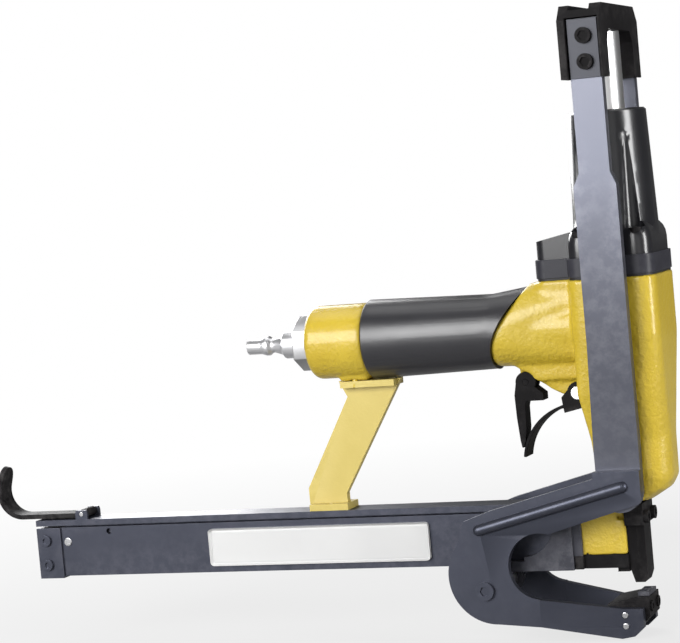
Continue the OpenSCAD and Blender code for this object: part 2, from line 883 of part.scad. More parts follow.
// Square foot of the clinch cylinder, domed over its corners
module domed_foot() {
    base_z = cap_top - dome_drop;
    rise = dome_h + dome_drop - skin;
    hull() {
        slice(tier_z, body_front - tier_inset, body_rear - tier_inset, body_w - 2 * tier_inset, body_round,
            body_round);
        for (i = [0 : dome_steps])
            let (a = 90 * i / dome_steps, inset = tier_inset + dome_inset * (1 - cos(a)))
                slice(base_z + rise * sin(a), body_front - inset, body_rear - inset, body_w - 2 * inset,
                    body_round, body_round);
    }
}

// Rear lobe of the foot flange, its top rising towards the barrel
module lobe_foot() {
    intersection() {
        zslab(tier_z, cap_top + lobe_rise) round_rect(-lobe_reach + tier_inset, 0, -lobe_w / 2 + tier_inset,
            lobe_w / 2 - tier_inset, lobe_round);
        yslab(-lobe_w, lobe_w) polygon([[-lobe_reach, tier_z - overrun], [-lobe_reach, cap_top],
            [-body_rear, cap_top + lobe_rise], [-clinch_bore_r, cap_top], [-clinch_bore_r, tier_z - overrun]]);
    }
}

module clinch_cylinder() color("dimgray") difference() {
    union() {
        domed_foot();
        lobe_foot();
        rotate_extrude() polygon([[0, tier_z], [barrel_foot_r, tier_z], [barrel_foot_r, cap_top],
            [barrel_top_r, clinch_top - rim_bevel], [barrel_top_r - rim_bevel, clinch_top], [0, clinch_top]]);
    }
    zrod(tier_z - overrun, clinch_top - clinch_lid, clinch_bore_r);
    zrod(cap_top, clinch_top + overrun, bush_r + slip);
    at_head_screws() {
        zrod(tier_z - overrun, clinch_top, head_screw_r + slip);
        zrod(cap_top, cap_top + dome_h + overrun, head_screw_head_r + gap);
        translate([0, 0, cap_top + head_screw_head_h])
            cylinder(h = clinch_h, r1 = flute_r, r2 = flute_top_r);
    }
}

module head_screws() color("dimgray") at_head_screws() translate([0, 0, cap_top])
    socket_screw(head_screw_head_r, head_screw_head_h, head_screw_r, cap_top - body_top + head_screw_depth);

// Clinch rod and piston

module rod_bush() color("darkgoldenrod") difference() {
    zrod(clinch_top - clinch_lid, clinch_top, bush_r);
    zrod(clinch_top - clinch_lid - overrun, clinch_top + overrun, rod_r + slip);
}

module clinch_piston() color("silver") difference() {
    zrod(clinch_piston_z, clinch_piston_z + clinch_piston_h, clinch_bore_r - slip);
    zrod(clinch_piston_z - overrun, clinch_piston_z + clinch_piston_h + overrun, spigot_r + slip);
    piston_groove(clinch_bore_r, clinch_piston_z + clinch_piston_h / 2);
}

module clinch_seal() color("black") seal_ring(clinch_bore_r, clinch_piston_z + clinch_piston_h / 2);

module clinch_rod() color("white") {
    zrod(clinch_piston_z, clinch_piston_z + clinch_piston_h + skin, spigot_r);
    zrod(clinch_piston_z + clinch_piston_h, cross_arch_z, rod_r);
    zrod(cross_arch_z - skin, rod_top, spigot_r);
}

// Crosshead and links

module cross_outline() {
    half = cross_w / 2;
    leg = link_in - cross_leg_t;
    polygon([[-half, cross_bottom], [-half, cross_top - cross_bevel_z], [-half + cross_bevel_y, cross_top],
        [half - cross_bevel_y, cross_top], [half, cross_top - cross_bevel_z], [half, cross_bottom],
        [leg, cross_bottom], [leg, cross_arch_low_z], [leg - cross_arch_bevel, cross_arch_z],
        [-leg + cross_arch_bevel, cross_arch_z], [-leg, cross_arch_low_z], [-leg, cross_bottom]]);
}

module crosshead() color("dimgray") difference() {
    xslab(-cross_rear, cross_front) cross_outline();
    zrod(cross_bottom, rod_top + slip, spigot_r + slip);
    box(-cross_rear + cross_rib_t, cross_front - cross_hood_t, -cross_w, cross_w, cross_top - cross_saddle,
        cross_top + overrun);
    both_sides() {
        box(link_upper_x - link_upper_w / 2 - link_play, link_upper_x + link_upper_w / 2 + link_play,
            link_in, cross_w, cross_bottom - overrun, link_top_z + link_play);
        at_link_screws() yrod(0, cross_w, link_screw_r + slip);
    }
}

module at_link_screws() {
    for (z = link_screw_z) translate([link_screw_x, 0, z]) children();
}

// A link from the side: narrow in the crosshead, wide below, round at the lever pin
module link_outline() {
    upper = link_upper_w / 2;
    mid = link_mid_w / 2;
    end = link_end_w / 2;
    polygon([[link_upper_x - upper, link_top_z], [link_upper_x + upper, link_top_z],
        [link_upper_x + upper, link_shoulder_z + link_shoulder_h], [link_mid_x + mid, link_shoulder_z],
        [link_mid_x + mid, link_bend_z], [pin_x + end, link_knee_z], [pin_x + end - skin, pin_z],
        [pin_x - end + skin, pin_z],
        [pin_x - end, link_knee_z], [link_mid_x - mid, link_bend_z], [link_mid_x - mid, link_shoulder_z],
        [link_upper_x - upper, link_shoulder_z + link_shoulder_h]]);
}

// A link from the front: out at the crosshead, in at the lever
module link_path() {
    top = link_top_w / 2;
    low = link_low_w / 2;
    bottom = pin_z - link_end_w;
    polygon([[top, link_top_z + overrun], [top, link_bend_z], [low, link_knee_z], [low, bottom],
        [low - link_t, bottom], [low - link_t, link_knee_z], [top - link_t, link_bend_z],
        [top - link_t, link_top_z + overrun]]);
}

// A link with the raised pad that its two screws press into the crosshead
module link() difference() {
    half = link_upper_w / 2 - link_pad_inset;
    union() {
        intersection() {
            union() {
                yslab(0, cross_w) link_outline();
                translate([pin_x, 0, pin_z]) yrod(0, cross_w, link_end_w / 2);
            }
            xslab(-link_end_w * 2, link_end_w * 2) link_path();
        }
        box(link_upper_x - half, link_upper_x + half, link_top_w / 2 - skin, link_top_w / 2 + link_pad_t,
            cross_bottom, link_top_z - link_pad_inset);
    }
    translate([pin_x, 0, pin_z]) yrod(0, cross_w, link_pin_r + slip);
    at_link_screws() yrod(0, cross_w, link_screw_r + slip);
}

module link_far() color("slategray") link();

module link_near() color("slategray") mirror([0, 1, 0]) link();

module link_screws() color("black") both_sides() at_link_screws()
    translate([0, link_top_w / 2 + link_pad_t, 0]) rotate([-90, 0, 0])
        socket_screw(link_screw_head_r, link_screw_head_h, link_screw_r, link_pad_t + link_t + cross_leg_t);

module link_pins() color("silver") both_sides() translate([pin_x, 0, pin_z])
    yrod(link_low_w / 2 - link_t, cheek_in + slot_depth - gap, link_pin_r);

// Clinch lever

// Place of the link pin in the lever's own frame when the rod has risen by s
function slot_point(s) =
    let (a = lever_ratio * s * 180 / PI)
    [pin_dx * cos(a) + (pin_dz + s) * sin(a), (pin_dz + s) * cos(a) - pin_dx * sin(a)];

// Unit vector across the slot at s
function slot_side(s) =
    let (step = (rod_up + rod_down) / slot_steps, d = slot_point(s + step) - slot_point(s - step))
    [-d[1], d[0]] / norm(d);

// Half turn round a point, from the given direction on clockwise
function half_turn(centre, r, from) =
    [for (i = [1 : slot_steps - 1]) let (a = from - 180 * i / slot_steps) centre + r * [cos(a), sin(a)]];

// Slot that the link pin wanders along while the rod and the lever move at one steady ratio
module slot_outline() {
    half = link_pin_r + gap;
    way = [for (i = [0 : slot_steps]) -rod_down + (rod_up + rod_down) * i / slot_steps];
    left = [for (s = way) slot_point(s) + half * slot_side(s)];
    right = [for (i = [slot_steps : -1 : 0]) slot_point(way[i]) - half * slot_side(way[i])];
    top_side = slot_side(rod_up);
    low_side = slot_side(-rod_down);
    polygon(concat(left, half_turn(slot_point(rod_up), half, atan2(top_side[1], top_side[0])), right,
        half_turn(slot_point(-rod_down), half, atan2(-low_side[1], -low_side[0]))));
}

// Back of the C and the upper arm, seen from the side with the pivot at zero
module cheek_outline() {
    arm = [for (p = arm_shares) [p[0] * arm_l, p[1] * arm_h]];
    difference() {
        union() {
            polygon(concat(arm, [[throat_x, throat_z], [crease_x, -root_top], [crease_x, -root_bottom],
                [back_x, back_z - back_r], [back_x - back_r, back_z]]));
            translate([back_x, back_z]) circle(back_r);
        }
        translate([throat_x, throat_z]) circle(throat_r);
    }
}

// Lower arm, seen from the side with the pivot at zero
module low_arm_outline() {
    start = crease_x - cheek_t;
    top = [for (p = low_arm_top_shares) [p[0] * low_arm_l, p[1] * low_arm_h]];
    bottom = [for (p = low_arm_bottom_shares) [p[0] * low_arm_l, p[1] * low_arm_h]];
    difference() {
        polygon(concat([[start, -root_bottom + chamfer / 2], [start, -root_top]], top, bottom,
            [[crease_x, -root_bottom]]));
        translate([throat_x, throat_z]) circle(throat_r);
    }
}

// Lower arm seen from above: straight at the crease, then bent in towards the tip
module low_arm_plan() {
    start = crease_x - cheek_t;
    polygon([[start, lever_w / 2], [crease_x, lever_w / 2], [low_arm_l, tip_w / 2],
        [low_arm_l, tip_w / 2 - cheek_t], [crease_x, cheek_in], [start, cheek_in]]);
}

module bead() {
    ends = [for (p = bead_shares) [p[0] * arm_l, p[1] * arm_h]];
    run = ends[1] - ends[0];
    r = bead_w / 2;
    translate([ends[0][0], lever_w / 2 + bead_rise - r, ends[0][1]]) rotate([0, -atan2(run[1], run[0]), 0]) {
        xrod(0, norm(run), r);
        sphere(r * bead_end_share);
        translate([norm(run), 0, 0]) sphere(r * bead_end_share);
    }
}

module lever_cheek() translate([-pivot_x, 0, pivot_z]) difference() {
    union() {
        yslab(cheek_in, lever_w / 2) cheek_outline();
        intersection() {
            yslab(0, lever_w) low_arm_outline();
            zslab(-low_arm_h - overrun, arm_h) low_arm_plan();
        }
        bead();
    }
    yslab(cheek_in - overrun, cheek_in + slot_depth) slot_outline();
    yrod(0, lever_w, pivot_r + slip);
    translate([pivot_x, 0, -pivot_z]) at_anvil_pins() yrod(0, lever_w, anvil_pin_r + slip);
}

module lever_cheek_far() color("slategray") lever_cheek();

module lever_cheek_near() color("slategray") mirror([0, 1, 0]) lever_cheek();

module pivot_bolt() color("slategray") translate([-pivot_x, 0, pivot_z]) {
    yrod(-lever_w / 2, lever_w / 2, pivot_r);
    both_sides() difference() {
        yrod(lever_w / 2 - skin, lever_w / 2 + bolt_head_h, bolt_head_r);
        translate([0, lever_w / 2 + bolt_head_h / 2, 0]) rotate([-90, 0, 0])
            cylinder(h = bolt_head_h, r = bolt_socket_r, $fn = 6);
        yrod(0, lever_w / 2, pivot_r + overrun);
    }
}

module pivot_sleeves() color("gray") both_sides() translate([-pivot_x, 0, pivot_z]) difference() {
    yrod(leg_w / 2 + pivot_plate_t + gap, cheek_in, sleeve_r);
    yrod(0, lever_w, pivot_r + slip);
}

module at_anvil_pins() {
    for (z = anvil_pin_z) translate([anvil_pin_x, 0, z]) children();
}

// Anvil block from the side
module anvil_outline() {
    low = anvil_top - anvil_h;
    polygon([[-anvil_rear, anvil_top - anvil_drop], [-die_rear, anvil_top], [anvil_front, anvil_top],
        [anvil_front, low + anvil_bevel], [anvil_front - anvil_bevel, low], [-anvil_rear, low]]);
}

// Anvil block from above: a wedge between the cheeks that runs out ahead of their ends
module anvil_plan() {
    slope = (lever_w - tip_w) / 2 / (low_arm_l - crease_x);
    neck = tip_w / 2 - cheek_t - slip;
    rear = neck + slope * (low_arm_l - pivot_x + anvil_rear);
    polygon([[-anvil_rear, -rear], [low_arm_l - pivot_x, -neck], [anvil_front, -neck], [anvil_front, neck],
        [low_arm_l - pivot_x, neck], [-anvil_rear, rear]]);
}

module anvil_block() color("dimgray") difference() {
    intersection() {
        yslab(-lever_w, lever_w) anvil_outline();
        zslab(-low_arm_h * 2, 0) anvil_plan();
    }
    at_anvil_pins() yrod(-lever_w, lever_w, anvil_pin_r + slip);
    for (y = [-anvil_screw_y, anvil_screw_y]) translate([0, y, anvil_screw_z])
        xrod(anvil_front - anvil_bevel, anvil_front + overrun, anvil_screw_r - chamfer / 2 + slip);
}

// Hardened die with the two hollows that curl the staple's legs
module clinch_die() color("silver") difference() {
    box(-die_rear + chamfer, die_front, -die_w / 2, die_w / 2, anvil_top, -die_drop);
    both_sides() translate([0, die_groove_y, -die_drop + die_groove_r / 2]) sphere(die_groove_r);
}

module anvil_pins() color("silver") {
    slope = (lever_w - tip_w) / 2 / (low_arm_l - crease_x);
    half = tip_w / 2 + slope * (arm_end - anvil_pin_x) + anvil_pin_proud;
    at_anvil_pins() yrod(-half, half, anvil_pin_r);
}

module anvil_screws() color("black") for (y = [-anvil_screw_y, anvil_screw_y])
    translate([anvil_front, y, anvil_screw_z]) rotate([0, 90, 0])
        socket_screw(anvil_screw_r, chamfer / 2, anvil_screw_r - chamfer / 2, anvil_bevel);

// Nose

module at_front_screws() {
    for (y = [-front_screw_y, front_screw_y]) translate([0, y, front_screw_z]) children();
}

module at_base_screws() {
    for (x = base_screw_x, y = [-base_screw_y, base_screw_y]) translate([x, y, 0]) children();
}

module at_plate_screws() {
    translate([-plate_screw_x, 0, plate_screw_z]) children();
}

// Nose seen from the front: a narrow tongue under two shoulders
module nose_outline() {
    rect(-nose_w / 2, nose_w / 2, 0, guide_h);
    rect(-shoulder_w / 2, shoulder_w / 2, shoulder_z, guide_h);
}

module driver_guide() color("dimgray") difference() {
    intersection() {
        xslab(-leg_front, -channel_gap) nose_outline();
        yslab(-shoulder_w, shoulder_w) polygon([[-leg_front, guide_h], [-leg_front, tip_bevel_z * 2],
            [-tip_bevel_x, 0], [0, 0], [0, guide_h]]);
    }
    box(-leg_front - overrun, 0, -window_w / 2, window_w / 2, leg_bottom, pusher_top);
    at_front_screws() xrod(-leg_front - overrun, 0, front_screw_r + slip);
}

module front_plate() color("dimgray") difference() {
    union() {
        intersection() {
            xslab(-channel_gap, front_t) nose_outline();
            yslab(-shoulder_w, shoulder_w) polygon([[-channel_gap, 0], [front_t - front_bevel_x, 0],
                [front_t, front_bevel_z], [front_t, guide_h], [-channel_gap, guide_h]]);
        }
        box(front_t - skin, front_t + front_shoulder_t, -shoulder_w / 2, shoulder_w / 2, shoulder_z, guide_h);
    }
    box(-channel_gap - overrun, channel_gap, -blade_w / 2 - blade_gap, blade_w / 2 + blade_gap, -overrun,
        guide_h + overrun);
    at_front_screws() xrod(-channel_gap - overrun, front_t + front_shoulder_t + overrun, front_screw_r + slip);
}

module front_plate_screws() color("black") at_front_screws() translate([front_t + front_shoulder_t, 0, 0])
    rotate([0, 90, 0])
        socket_screw(button_r, button_h, front_screw_r, front_t + front_shoulder_t + front_screw_l);

// Base plate under the leg, wider where the pivot plates' front tabs stand on it
module base_plate() color("dimgray") difference() {
    union() {
        box(-base_rear, -leg_front, -leg_w / 2, leg_w / 2, leg_bottom - base_t, leg_bottom);
        box(-leg_front - base_step_l, -leg_front, -nose_w / 2, nose_w / 2, leg_bottom - base_t - base_step_h,
            leg_bottom - base_t + skin);
        both_sides()
            box(-base_rear, -ear_front, leg_w / 2 - skin, leg_w / 2 + ear_t, leg_bottom - base_t, leg_bottom);
    }
    at_base_screws() {
        zrod(leg_bottom - base_t - overrun, leg_bottom + overrun, base_screw_r + slip);
        zrod(leg_bottom - base_t - overrun, leg_bottom - base_t + base_screw_sink, base_screw_head_r + slip);
    }
}

module base_plate_screws() color("black") at_base_screws()
    translate([0, 0, leg_bottom - base_t + base_screw_sink]) rotate([180, 0, 0]) socket_screw(base_screw_head_r, base_screw_head_h, base_screw_r,
        passage_z - leg_bottom + base_t - base_screw_sink + base_screw_grip);

// Pivot plate from the side: held on the nose leg, reaching back and down to the lever pivot
module pivot_plate_outline() {
    difference() {
        union() {
            polygon([[-plate_front, plate_low], [-plate_front, leg_top - chamfer / 2],
                [-plate_arc_x, leg_top - chamfer / 2], [-plate_arc_x, plate_bar_top], [-pivot_x, plate_bar_top],
                [-pivot_x - plate_lug_r, pivot_z], [-pivot_x, pivot_z - plate_lug_r],
                [-plate_heel, plate_low]]);
            translate([-pivot_x, pivot_z]) circle(plate_lug_r);
        }
        translate([-plate_arc_x, plate_arc_z]) circle(plate_arc_r);
    }
}

// One pivot plate with a thin tab forward along the leg
module pivot_plate() difference() {
    union() {
        yslab(leg_w / 2, leg_w / 2 + pivot_plate_t) pivot_plate_outline();
        box(-plate_front - skin, -ear_front, leg_w / 2, leg_w / 2 + ear_t, leg_bottom, leg_top - ear_drop);
    }
    translate([-pivot_x, 0, pivot_z]) yrod(0, leg_w, pivot_r + slip);
    at_plate_screws() yrod(0, leg_w, leg_screw_r + slip);
}

module pivot_plate_far() color("gray") pivot_plate();

module pivot_plate_near() color("gray") mirror([0, 1, 0]) pivot_plate();

// The same screw holds the rail on the leg's roof and the pivot plates on its sides
module leg_screws() color("black") {
    at_rail_screws() translate([0, 0, rail_top]) leg_screw();
    both_sides() at_plate_screws() translate([0, leg_w / 2 + pivot_plate_t, 0]) rotate([-90, 0, 0]) leg_screw();
}

module leg_screw() socket_screw(leg_screw_head_r, leg_screw_head_h, leg_screw_r, leg_screw_l);

// Walls of the nose leg, on both sides of the staples' way
module leg_walls() color("goldenrod") both_sides() difference() {
    box(-leg_rear, -leg_front, passage_w / 2, leg_w / 2, leg_bottom, passage_z);
    at_base_screws() zrod(leg_bottom - overrun, passage_z + overrun, base_screw_r + slip);
}

module pivot_spacer() color("gray") translate([-pivot_x, 0, pivot_z]) difference() {
    yrod(-leg_w / 2, leg_w / 2, spacer_r);
    yrod(-leg_w, leg_w, pivot_r + slip);
}

// Magazine

module at_rail_screws() {
    for (x = rail_screw_x) translate([x, 0, 0]) children();
}

// Channel seen from the end: a trough whose lips hang on the rail's foot
module channel_outline() {
    half = channel_w / 2;
    lip = rail_web_w / 2 + lip_gap;
    difference() {
        rect(-half, half, channel_z, channel_top);
        rect(-half + channel_t, half - channel_t, channel_z + channel_t, channel_top - lip_t);
        rect(-lip, lip, channel_top - lip_t - overrun, channel_top + overrun);
    }
}

module magazine_channel() color("slategray") difference() {
    xslab(-channel_rear, -channel_front) channel_outline();
    translate([-notch_x, 0, notch_z]) yrod(-channel_w, 0, notch_r);
    translate([-channel_pin_x, 0, channel_pin_z]) yrod(-channel_w, channel_w, channel_pin_r + slip);
}

module top_rail() color("slategray") difference() {
    union() {
        box(-channel_rear - end_block_l, -rail_front, -rail_w / 2, rail_w / 2, rail_z, rail_top);
        box(-channel_rear + gap, -leg_rear - gap, -rail_web_w / 2, rail_web_w / 2, rail_foot_z, rail_z + skin);
        box(-channel_rear + gap, -leg_rear - gap, -rail_foot_w / 2, rail_foot_w / 2, rail_foot_z,
            rail_foot_z + rail_foot_t);
        both_sides() yslab(latch_w / 2 + gap, latch_w / 2 + gap + latch_lug_t) latch_lug_outline();
    }
    at_rail_screws() zrod(rail_z - overrun, rail_top + overrun, leg_screw_r + slip);
    at_strut_foot_screws() zrod(rail_z - overrun, rail_top + overrun, strut_screw_r + slip);
    translate([-latch_x, 0, latch_z]) yrod(-rail_w, rail_w, latch_pin_r + slip);
}

module latch_lug_outline() {
    rect(-latch_x - latch_lug_l / 2, -latch_x + latch_lug_l / 2, rail_top - skin, latch_z);
    intersection() {
        translate([-latch_x, latch_z]) circle(latch_lug_l / 2);
        rect(-latch_x - latch_lug_l, -latch_x + latch_lug_l, rail_top - skin, rail_top + latch_lug_h);
    }
}

// Hollow core that the staples straddle
module staple_core() color("silver") difference() {
    union() {
        box(-channel_rear, -core_front, -core_w / 2, core_w / 2, core_z, core_top);
        box(-channel_rear, -channel_front, -core_web_w / 2, core_web_w / 2, channel_z + channel_t,
            core_z + core_wall);
    }
    box(-channel_rear - overrun, -core_front - core_wall, -core_w / 2 + core_wall, core_w / 2 - core_wall,
        core_z + core_wall, core_top - core_wall);
    box(-channel_rear - overrun, -core_front - core_wall, -core_slot_w / 2, core_slot_w / 2, core_z + core_wall,
        core_top + overrun);
}

module end_block() color("slategray") difference() {
    box(-channel_rear - end_block_l, -channel_rear, -end_block_w / 2, end_block_w / 2, channel_z - end_block_drop,
        channel_top);
    translate([0, 0, feed_z]) xrod(-channel_rear - end_block_l / 2, -channel_rear + overrun, feed_rod_r + slip);
    at_end_bolts() yrod(-end_block_w, end_block_w, end_bolt_r / 2 + slip);
}

module at_end_bolts() {
    for (z = end_bolt_z) translate([-channel_rear - end_block_l * end_bolt_share, 0, z]) children();
}

module end_block_bolts() color("slategray") at_end_bolts() {
    yrod(-end_block_w / 2, end_block_w / 2, end_bolt_r / 2);
    both_sides() difference() {
        yrod(end_block_w / 2, end_block_w / 2 + end_bolt_h, end_bolt_r);
        translate([0, end_block_w / 2 + end_bolt_h / 2, 0]) rotate([-90, 0, 0])
            cylinder(h = end_bolt_h, r = end_bolt_r / 2, $fn = 6);
    }
}

module channel_pin() color("white") translate([-channel_pin_x, 0, channel_pin_z])
    yrod(-channel_w / 2 - channel_pin_rise, channel_w / 2 + channel_pin_rise, channel_pin_r);

module feed_rod() color("silver") translate([0, 0, feed_z])
    xrod(-channel_rear - end_block_l / 2, -pusher_front - pusher_l - pusher_travel - gap, feed_rod_r);

module feed_spring() color("gray") translate([0, 0, feed_z]) difference() {
    xrod(-channel_rear, -pusher_front - pusher_l, spring_r);
    xrod(-channel_rear - overrun, -pusher_front - pusher_l + overrun, spring_r - spring_wire);
}

// Saddle over the core, with a tongue through the core's slot for the spring to press on
module pusher() color("gray") {
    half = core_w / 2 + gap;
    difference() {
        box(-pusher_front - pusher_l, -pusher_front, -half - pusher_wall, half + pusher_wall,
            pusher_top - pusher_skirt, pusher_top);
        box(-pusher_front - pusher_l - overrun, -pusher_front + overrun, -half, half,
            pusher_top - pusher_skirt - overrun, core_top + gap);
    }
    box(-pusher_front - pusher_l, -pusher_front - pusher_l / 2, -core_slot_w / 2 + gap, core_slot_w / 2 - gap,
        feed_z - spring_r + gap, pusher_top - skin);
}

// Latch

// Latch strip from the side: flat along the rail, then round and up to the finger tip
module latch_outline() {
    half = latch_t / 2;
    fall = 270 - hook_end_angle;
    angles = [for (i = [0 : hook_steps]) 270 - fall * i / hook_steps];
    tail = hook_tail_l * [sin(hook_end_angle), -cos(hook_end_angle)];
    outer = [for (a = angles) hook_centre + (hook_r + half) * [cos(a), sin(a)]];
    inner = [for (i = [hook_steps : -1 : 0]) hook_centre + (hook_r - half) * [cos(angles[i]), sin(angles[i])]];
    polygon(concat([[-latch_x, strip_z - half]], outer, [outer[hook_steps] + tail, inner[0] + tail], inner,
        [[-latch_x, strip_z + half]]));
}

module latch_hook() color("black") difference() {
    union() {
        yslab(-latch_w / 2, latch_w / 2) latch_outline();
        translate([-latch_x, 0, latch_z]) yrod(-latch_w / 2, latch_w / 2, latch_hub_r);
        translate([hook_centre[0], 0, hook_centre[1]]) rotate([0, -hook_end_angle, 0])
            translate([hook_r, 0, -hook_tail_l]) xrod(-latch_t / 2, latch_t / 2, latch_w / 2 - skin);
    }
    translate([-latch_x, 0, latch_z]) yrod(-latch_w, latch_w, latch_pin_r + slip);
}

module latch_pin() color("silver") translate([-latch_x, 0, latch_z])
    yrod(-latch_w / 2 - gap - latch_lug_t, latch_w / 2 + gap + latch_lug_t, latch_pin_r);

// Handle

module grip_sleeve() color("dimgray") difference() {
    translate([0, 0, handle_z]) rotate([0, 90, 0]) rotate_extrude() polygon([
        [handle_core_r + slip, -handle_rear + handle_end_l],
        [grip_rear_r - grip_round, -handle_rear + handle_end_l],
        [grip_rear_r, -handle_rear + handle_end_l + grip_round], [grip_front_r, -grip_waist_x],
        [grip_flare_r, -grip_tip_x + grip_round], [handle_core_r + slip, -grip_tip_x + grip_round]]);
    translate([-slip, 0, 0]) yslab(-body_w, body_w) ahead_of_grip();
}

module inlet_bush() color("silver") translate([0, 0, handle_z]) difference() {
    union() {
        translate([-handle_rear - inlet_l, 0, 0]) rotate([0, 90, 0])
            cylinder(h = inlet_l, r = inlet_af / sqrt(3), $fn = 6);
        xrod(-handle_rear - skin, -handle_rear + inlet_thread_l - gap, inlet_thread_r);
    }
    xrod(-handle_rear - inlet_l - overrun, -handle_rear + inlet_thread_l + overrun, plug_thread_r + slip);
}

// Quick-connect plug: tip, catch groove, collar and threaded root
module air_plug() color("white") translate([-handle_rear - inlet_l, 0, handle_z]) rotate([0, -90, 0])
    difference() {
    profile = [plug_root_r, plug_collar_r, plug_neck_r, plug_neck_r, plug_bead_r, plug_bead_r];
    rotate_extrude() polygon(concat([[0, -plug_thread_l], [plug_thread_r, -plug_thread_l], [plug_thread_r, 0],
        [plug_root_r, 0]], [for (i = [0 : len(profile) - 1]) [profile[i], plug_l * plug_shares[i]]],
        [[plug_tip_r, plug_l - plug_tip_l], [plug_tip_r, plug_l], [0, plug_l]]));
    translate([0, 0, -plug_thread_l - overrun])
        cylinder(h = plug_l + plug_thread_l + 2 * overrun, r = plug_bore_r);
}

module at_strut_top_screws() {
    for (y = [-strut_top_screw_y, strut_top_screw_y]) translate([strut_top_screw_x, y, 0]) children();
}

module at_strut_foot_screws() {
    for (y = [-strut_foot_screw_y, strut_foot_screw_y]) translate([strut_foot_screw_x, y, 0]) children();
}

// Flat web that carries the magazine's middle from the handle's end
module strut() color("goldenrod") difference() {
    union() {
        yslab(-strut_t / 2, strut_t / 2) polygon([[-strut_rear_x, strut_top_z], [-strut_front_x, strut_top_z],
            [-strut_low_front, rail_top + strut_front_kink_h], [-strut_low_front, rail_top],
            [-strut_low_rear, rail_top],
            [-strut_low_rear, rail_top + strut_kink_h], [-strut_rear_x + strut_t, strut_top_z - 2 * strut_t],
            [-strut_rear_x + strut_t / 2, strut_top_z - strut_t]]);
        box(-strut_pad_rear, -strut_flange_front, -strut_pad_w / 2, strut_pad_w / 2,
            strut_top_z - strut_flange_t, strut_top_z);
        box(-strut_foot_rear, -strut_foot_front, -strut_foot_w / 2, strut_foot_w / 2, rail_top,
            rail_top + strut_flange_t);
    }
    at_strut_top_screws() {
        zrod(strut_top_z - strut_flange_t - overrun, strut_top_z + overrun, strut_screw_r + slip);
        zrod(strut_top_z - 2 * strut_flange_t, strut_top_z - strut_flange_t + strut_screw_sink,
            strut_screw_head_r + slip);
    }
    at_strut_foot_screws() {
        zrod(rail_top - overrun, rail_top + strut_flange_t + overrun, strut_screw_r + slip);
        zrod(rail_top + strut_flange_t - strut_screw_sink, rail_top + 2 * strut_flange_t,
            strut_screw_head_r + slip);
    }
}

module strut_screws() color("goldenrod") {
    grip = strut_flange_t - strut_screw_sink;
    at_strut_top_screws() translate([0, 0, strut_top_z - grip]) rotate([180, 0, 0])
        socket_screw(strut_screw_head_r, strut_screw_head_h, strut_screw_r, grip + strut_screw_l);
    at_strut_foot_screws() translate([0, 0, rail_top + grip])
        socket_screw(strut_screw_head_r, strut_screw_head_h, strut_screw_r, grip + rail_t);
}

// Trigger

module trigger() color("black") difference() {
    union() {
        yslab(-trigger_w / 2, trigger_w / 2) translate([-trigger_curve_x, trigger_curve_z])
            ring_sector(trigger_curve_r - trigger_t / 2, trigger_curve_r + trigger_t / 2, trigger_root_angle,
                trigger_tip_angle);
        both_sides() yslab(lug_w / 2 + gap, trigger_w / 2) translate([-trigger_x, trigger_z]) {
            circle(trigger_hub_r);
            polygon([for (p = trigger_ear_shares) p * trigger_hub_r]);
        }
    }
    translate([-trigger_x, 0, trigger_z]) yrod(-trigger_w, trigger_w, trigger_pin_r + slip);
}

module trigger_pin() color("white") translate([-trigger_x, 0, trigger_z]) {
    yrod(-trigger_w / 2 - gap, trigger_w / 2 + gap, trigger_pin_r);
    both_sides() yrod(trigger_w / 2 + gap, trigger_w / 2 + gap + trigger_pin_head_h, trigger_pin_head_r);
}

module trigger_catch() color("black") difference() {
    translate([-catch_x, 0, catch_z]) {
        yrod(-catch_w / 2, catch_w / 2, catch_r);
        yslab(-catch_w / 2, catch_w / 2) polygon([for (p = catch_shares) [p[0] * catch_r, p[1] * catch_l]]);
        yslab(-catch_w / 2, catch_w / 2) polygon([for (p = block_shares) [p[0] * catch_r, p[1] * catch_l]]);
    }
    translate([-catch_x, 0, catch_z]) {
        yrod(-catch_w, catch_w, catch_pin_r + slip);
        yrod(-lug_tongue_w / 2 - gap, lug_tongue_w / 2 + gap, catch_r + gap);
    }
}

module catch_pin() color("dimgray") translate([-catch_x, 0, catch_z])
    yrod(-catch_w / 2, catch_w / 2, catch_pin_r);

module valve_bush() color("darkgoldenrod") translate([-stem_x, 0, 0]) difference() {
    zrod(valve_low, valve_top, stem_guide_r);
    zrod(valve_low - overrun, stem_top + lug_hub_r, stem_r + slip);
}

module valve_stem() color("silver") translate([-stem_x, 0, 0]) zrod(stem_low, stem_top, stem_r);

// Heights that depend on more than one piece
pusher_top = core_top + gap + pusher_head;
passage_z = pusher_top + passage_gap;
rail_foot_z = channel_top - lip_t - lip_gap - rail_foot_t;
stem_low = trigger_curve_z + gap
    + sqrt(pow(trigger_curve_r + trigger_t / 2, 2) - pow(stem_x - stem_r - trigger_curve_x, 2));

body_casting();
cylinder_liner();
bumper();
head_gasket();
head_cap();
clinch_cylinder();
rod_bush();
head_screws();
grip_sleeve();
inlet_bush();
air_plug();
strut();
strut_screws();
top_rail();
leg_walls();
driver_guide();
front_plate();
front_plate_screws();
base_plate();
base_plate_screws();
pivot_plate_near();
pivot_plate_far();
leg_screws();
pivot_spacer();
trigger_pin();
catch_pin();
valve_bush();
latch_pin();
clinch_piston();
clinch_seal();
clinch_rod();
crosshead();
link_near();
link_far();
link_screws();
link_pins();
lever_cheek_near();
lever_cheek_far();
pivot_bolt();
pivot_sleeves();
anvil_block();
clinch_die();
anvil_pins();
anvil_screws();
trigger();
trigger_catch();
valve_stem();
main_piston();
piston_seal();
driver_blade();
blade_pin();
magazine_channel();
staple_core();
end_block();
end_block_bolts();
channel_pin();
feed_rod();
feed_spring();
pusher();
latch_hook();
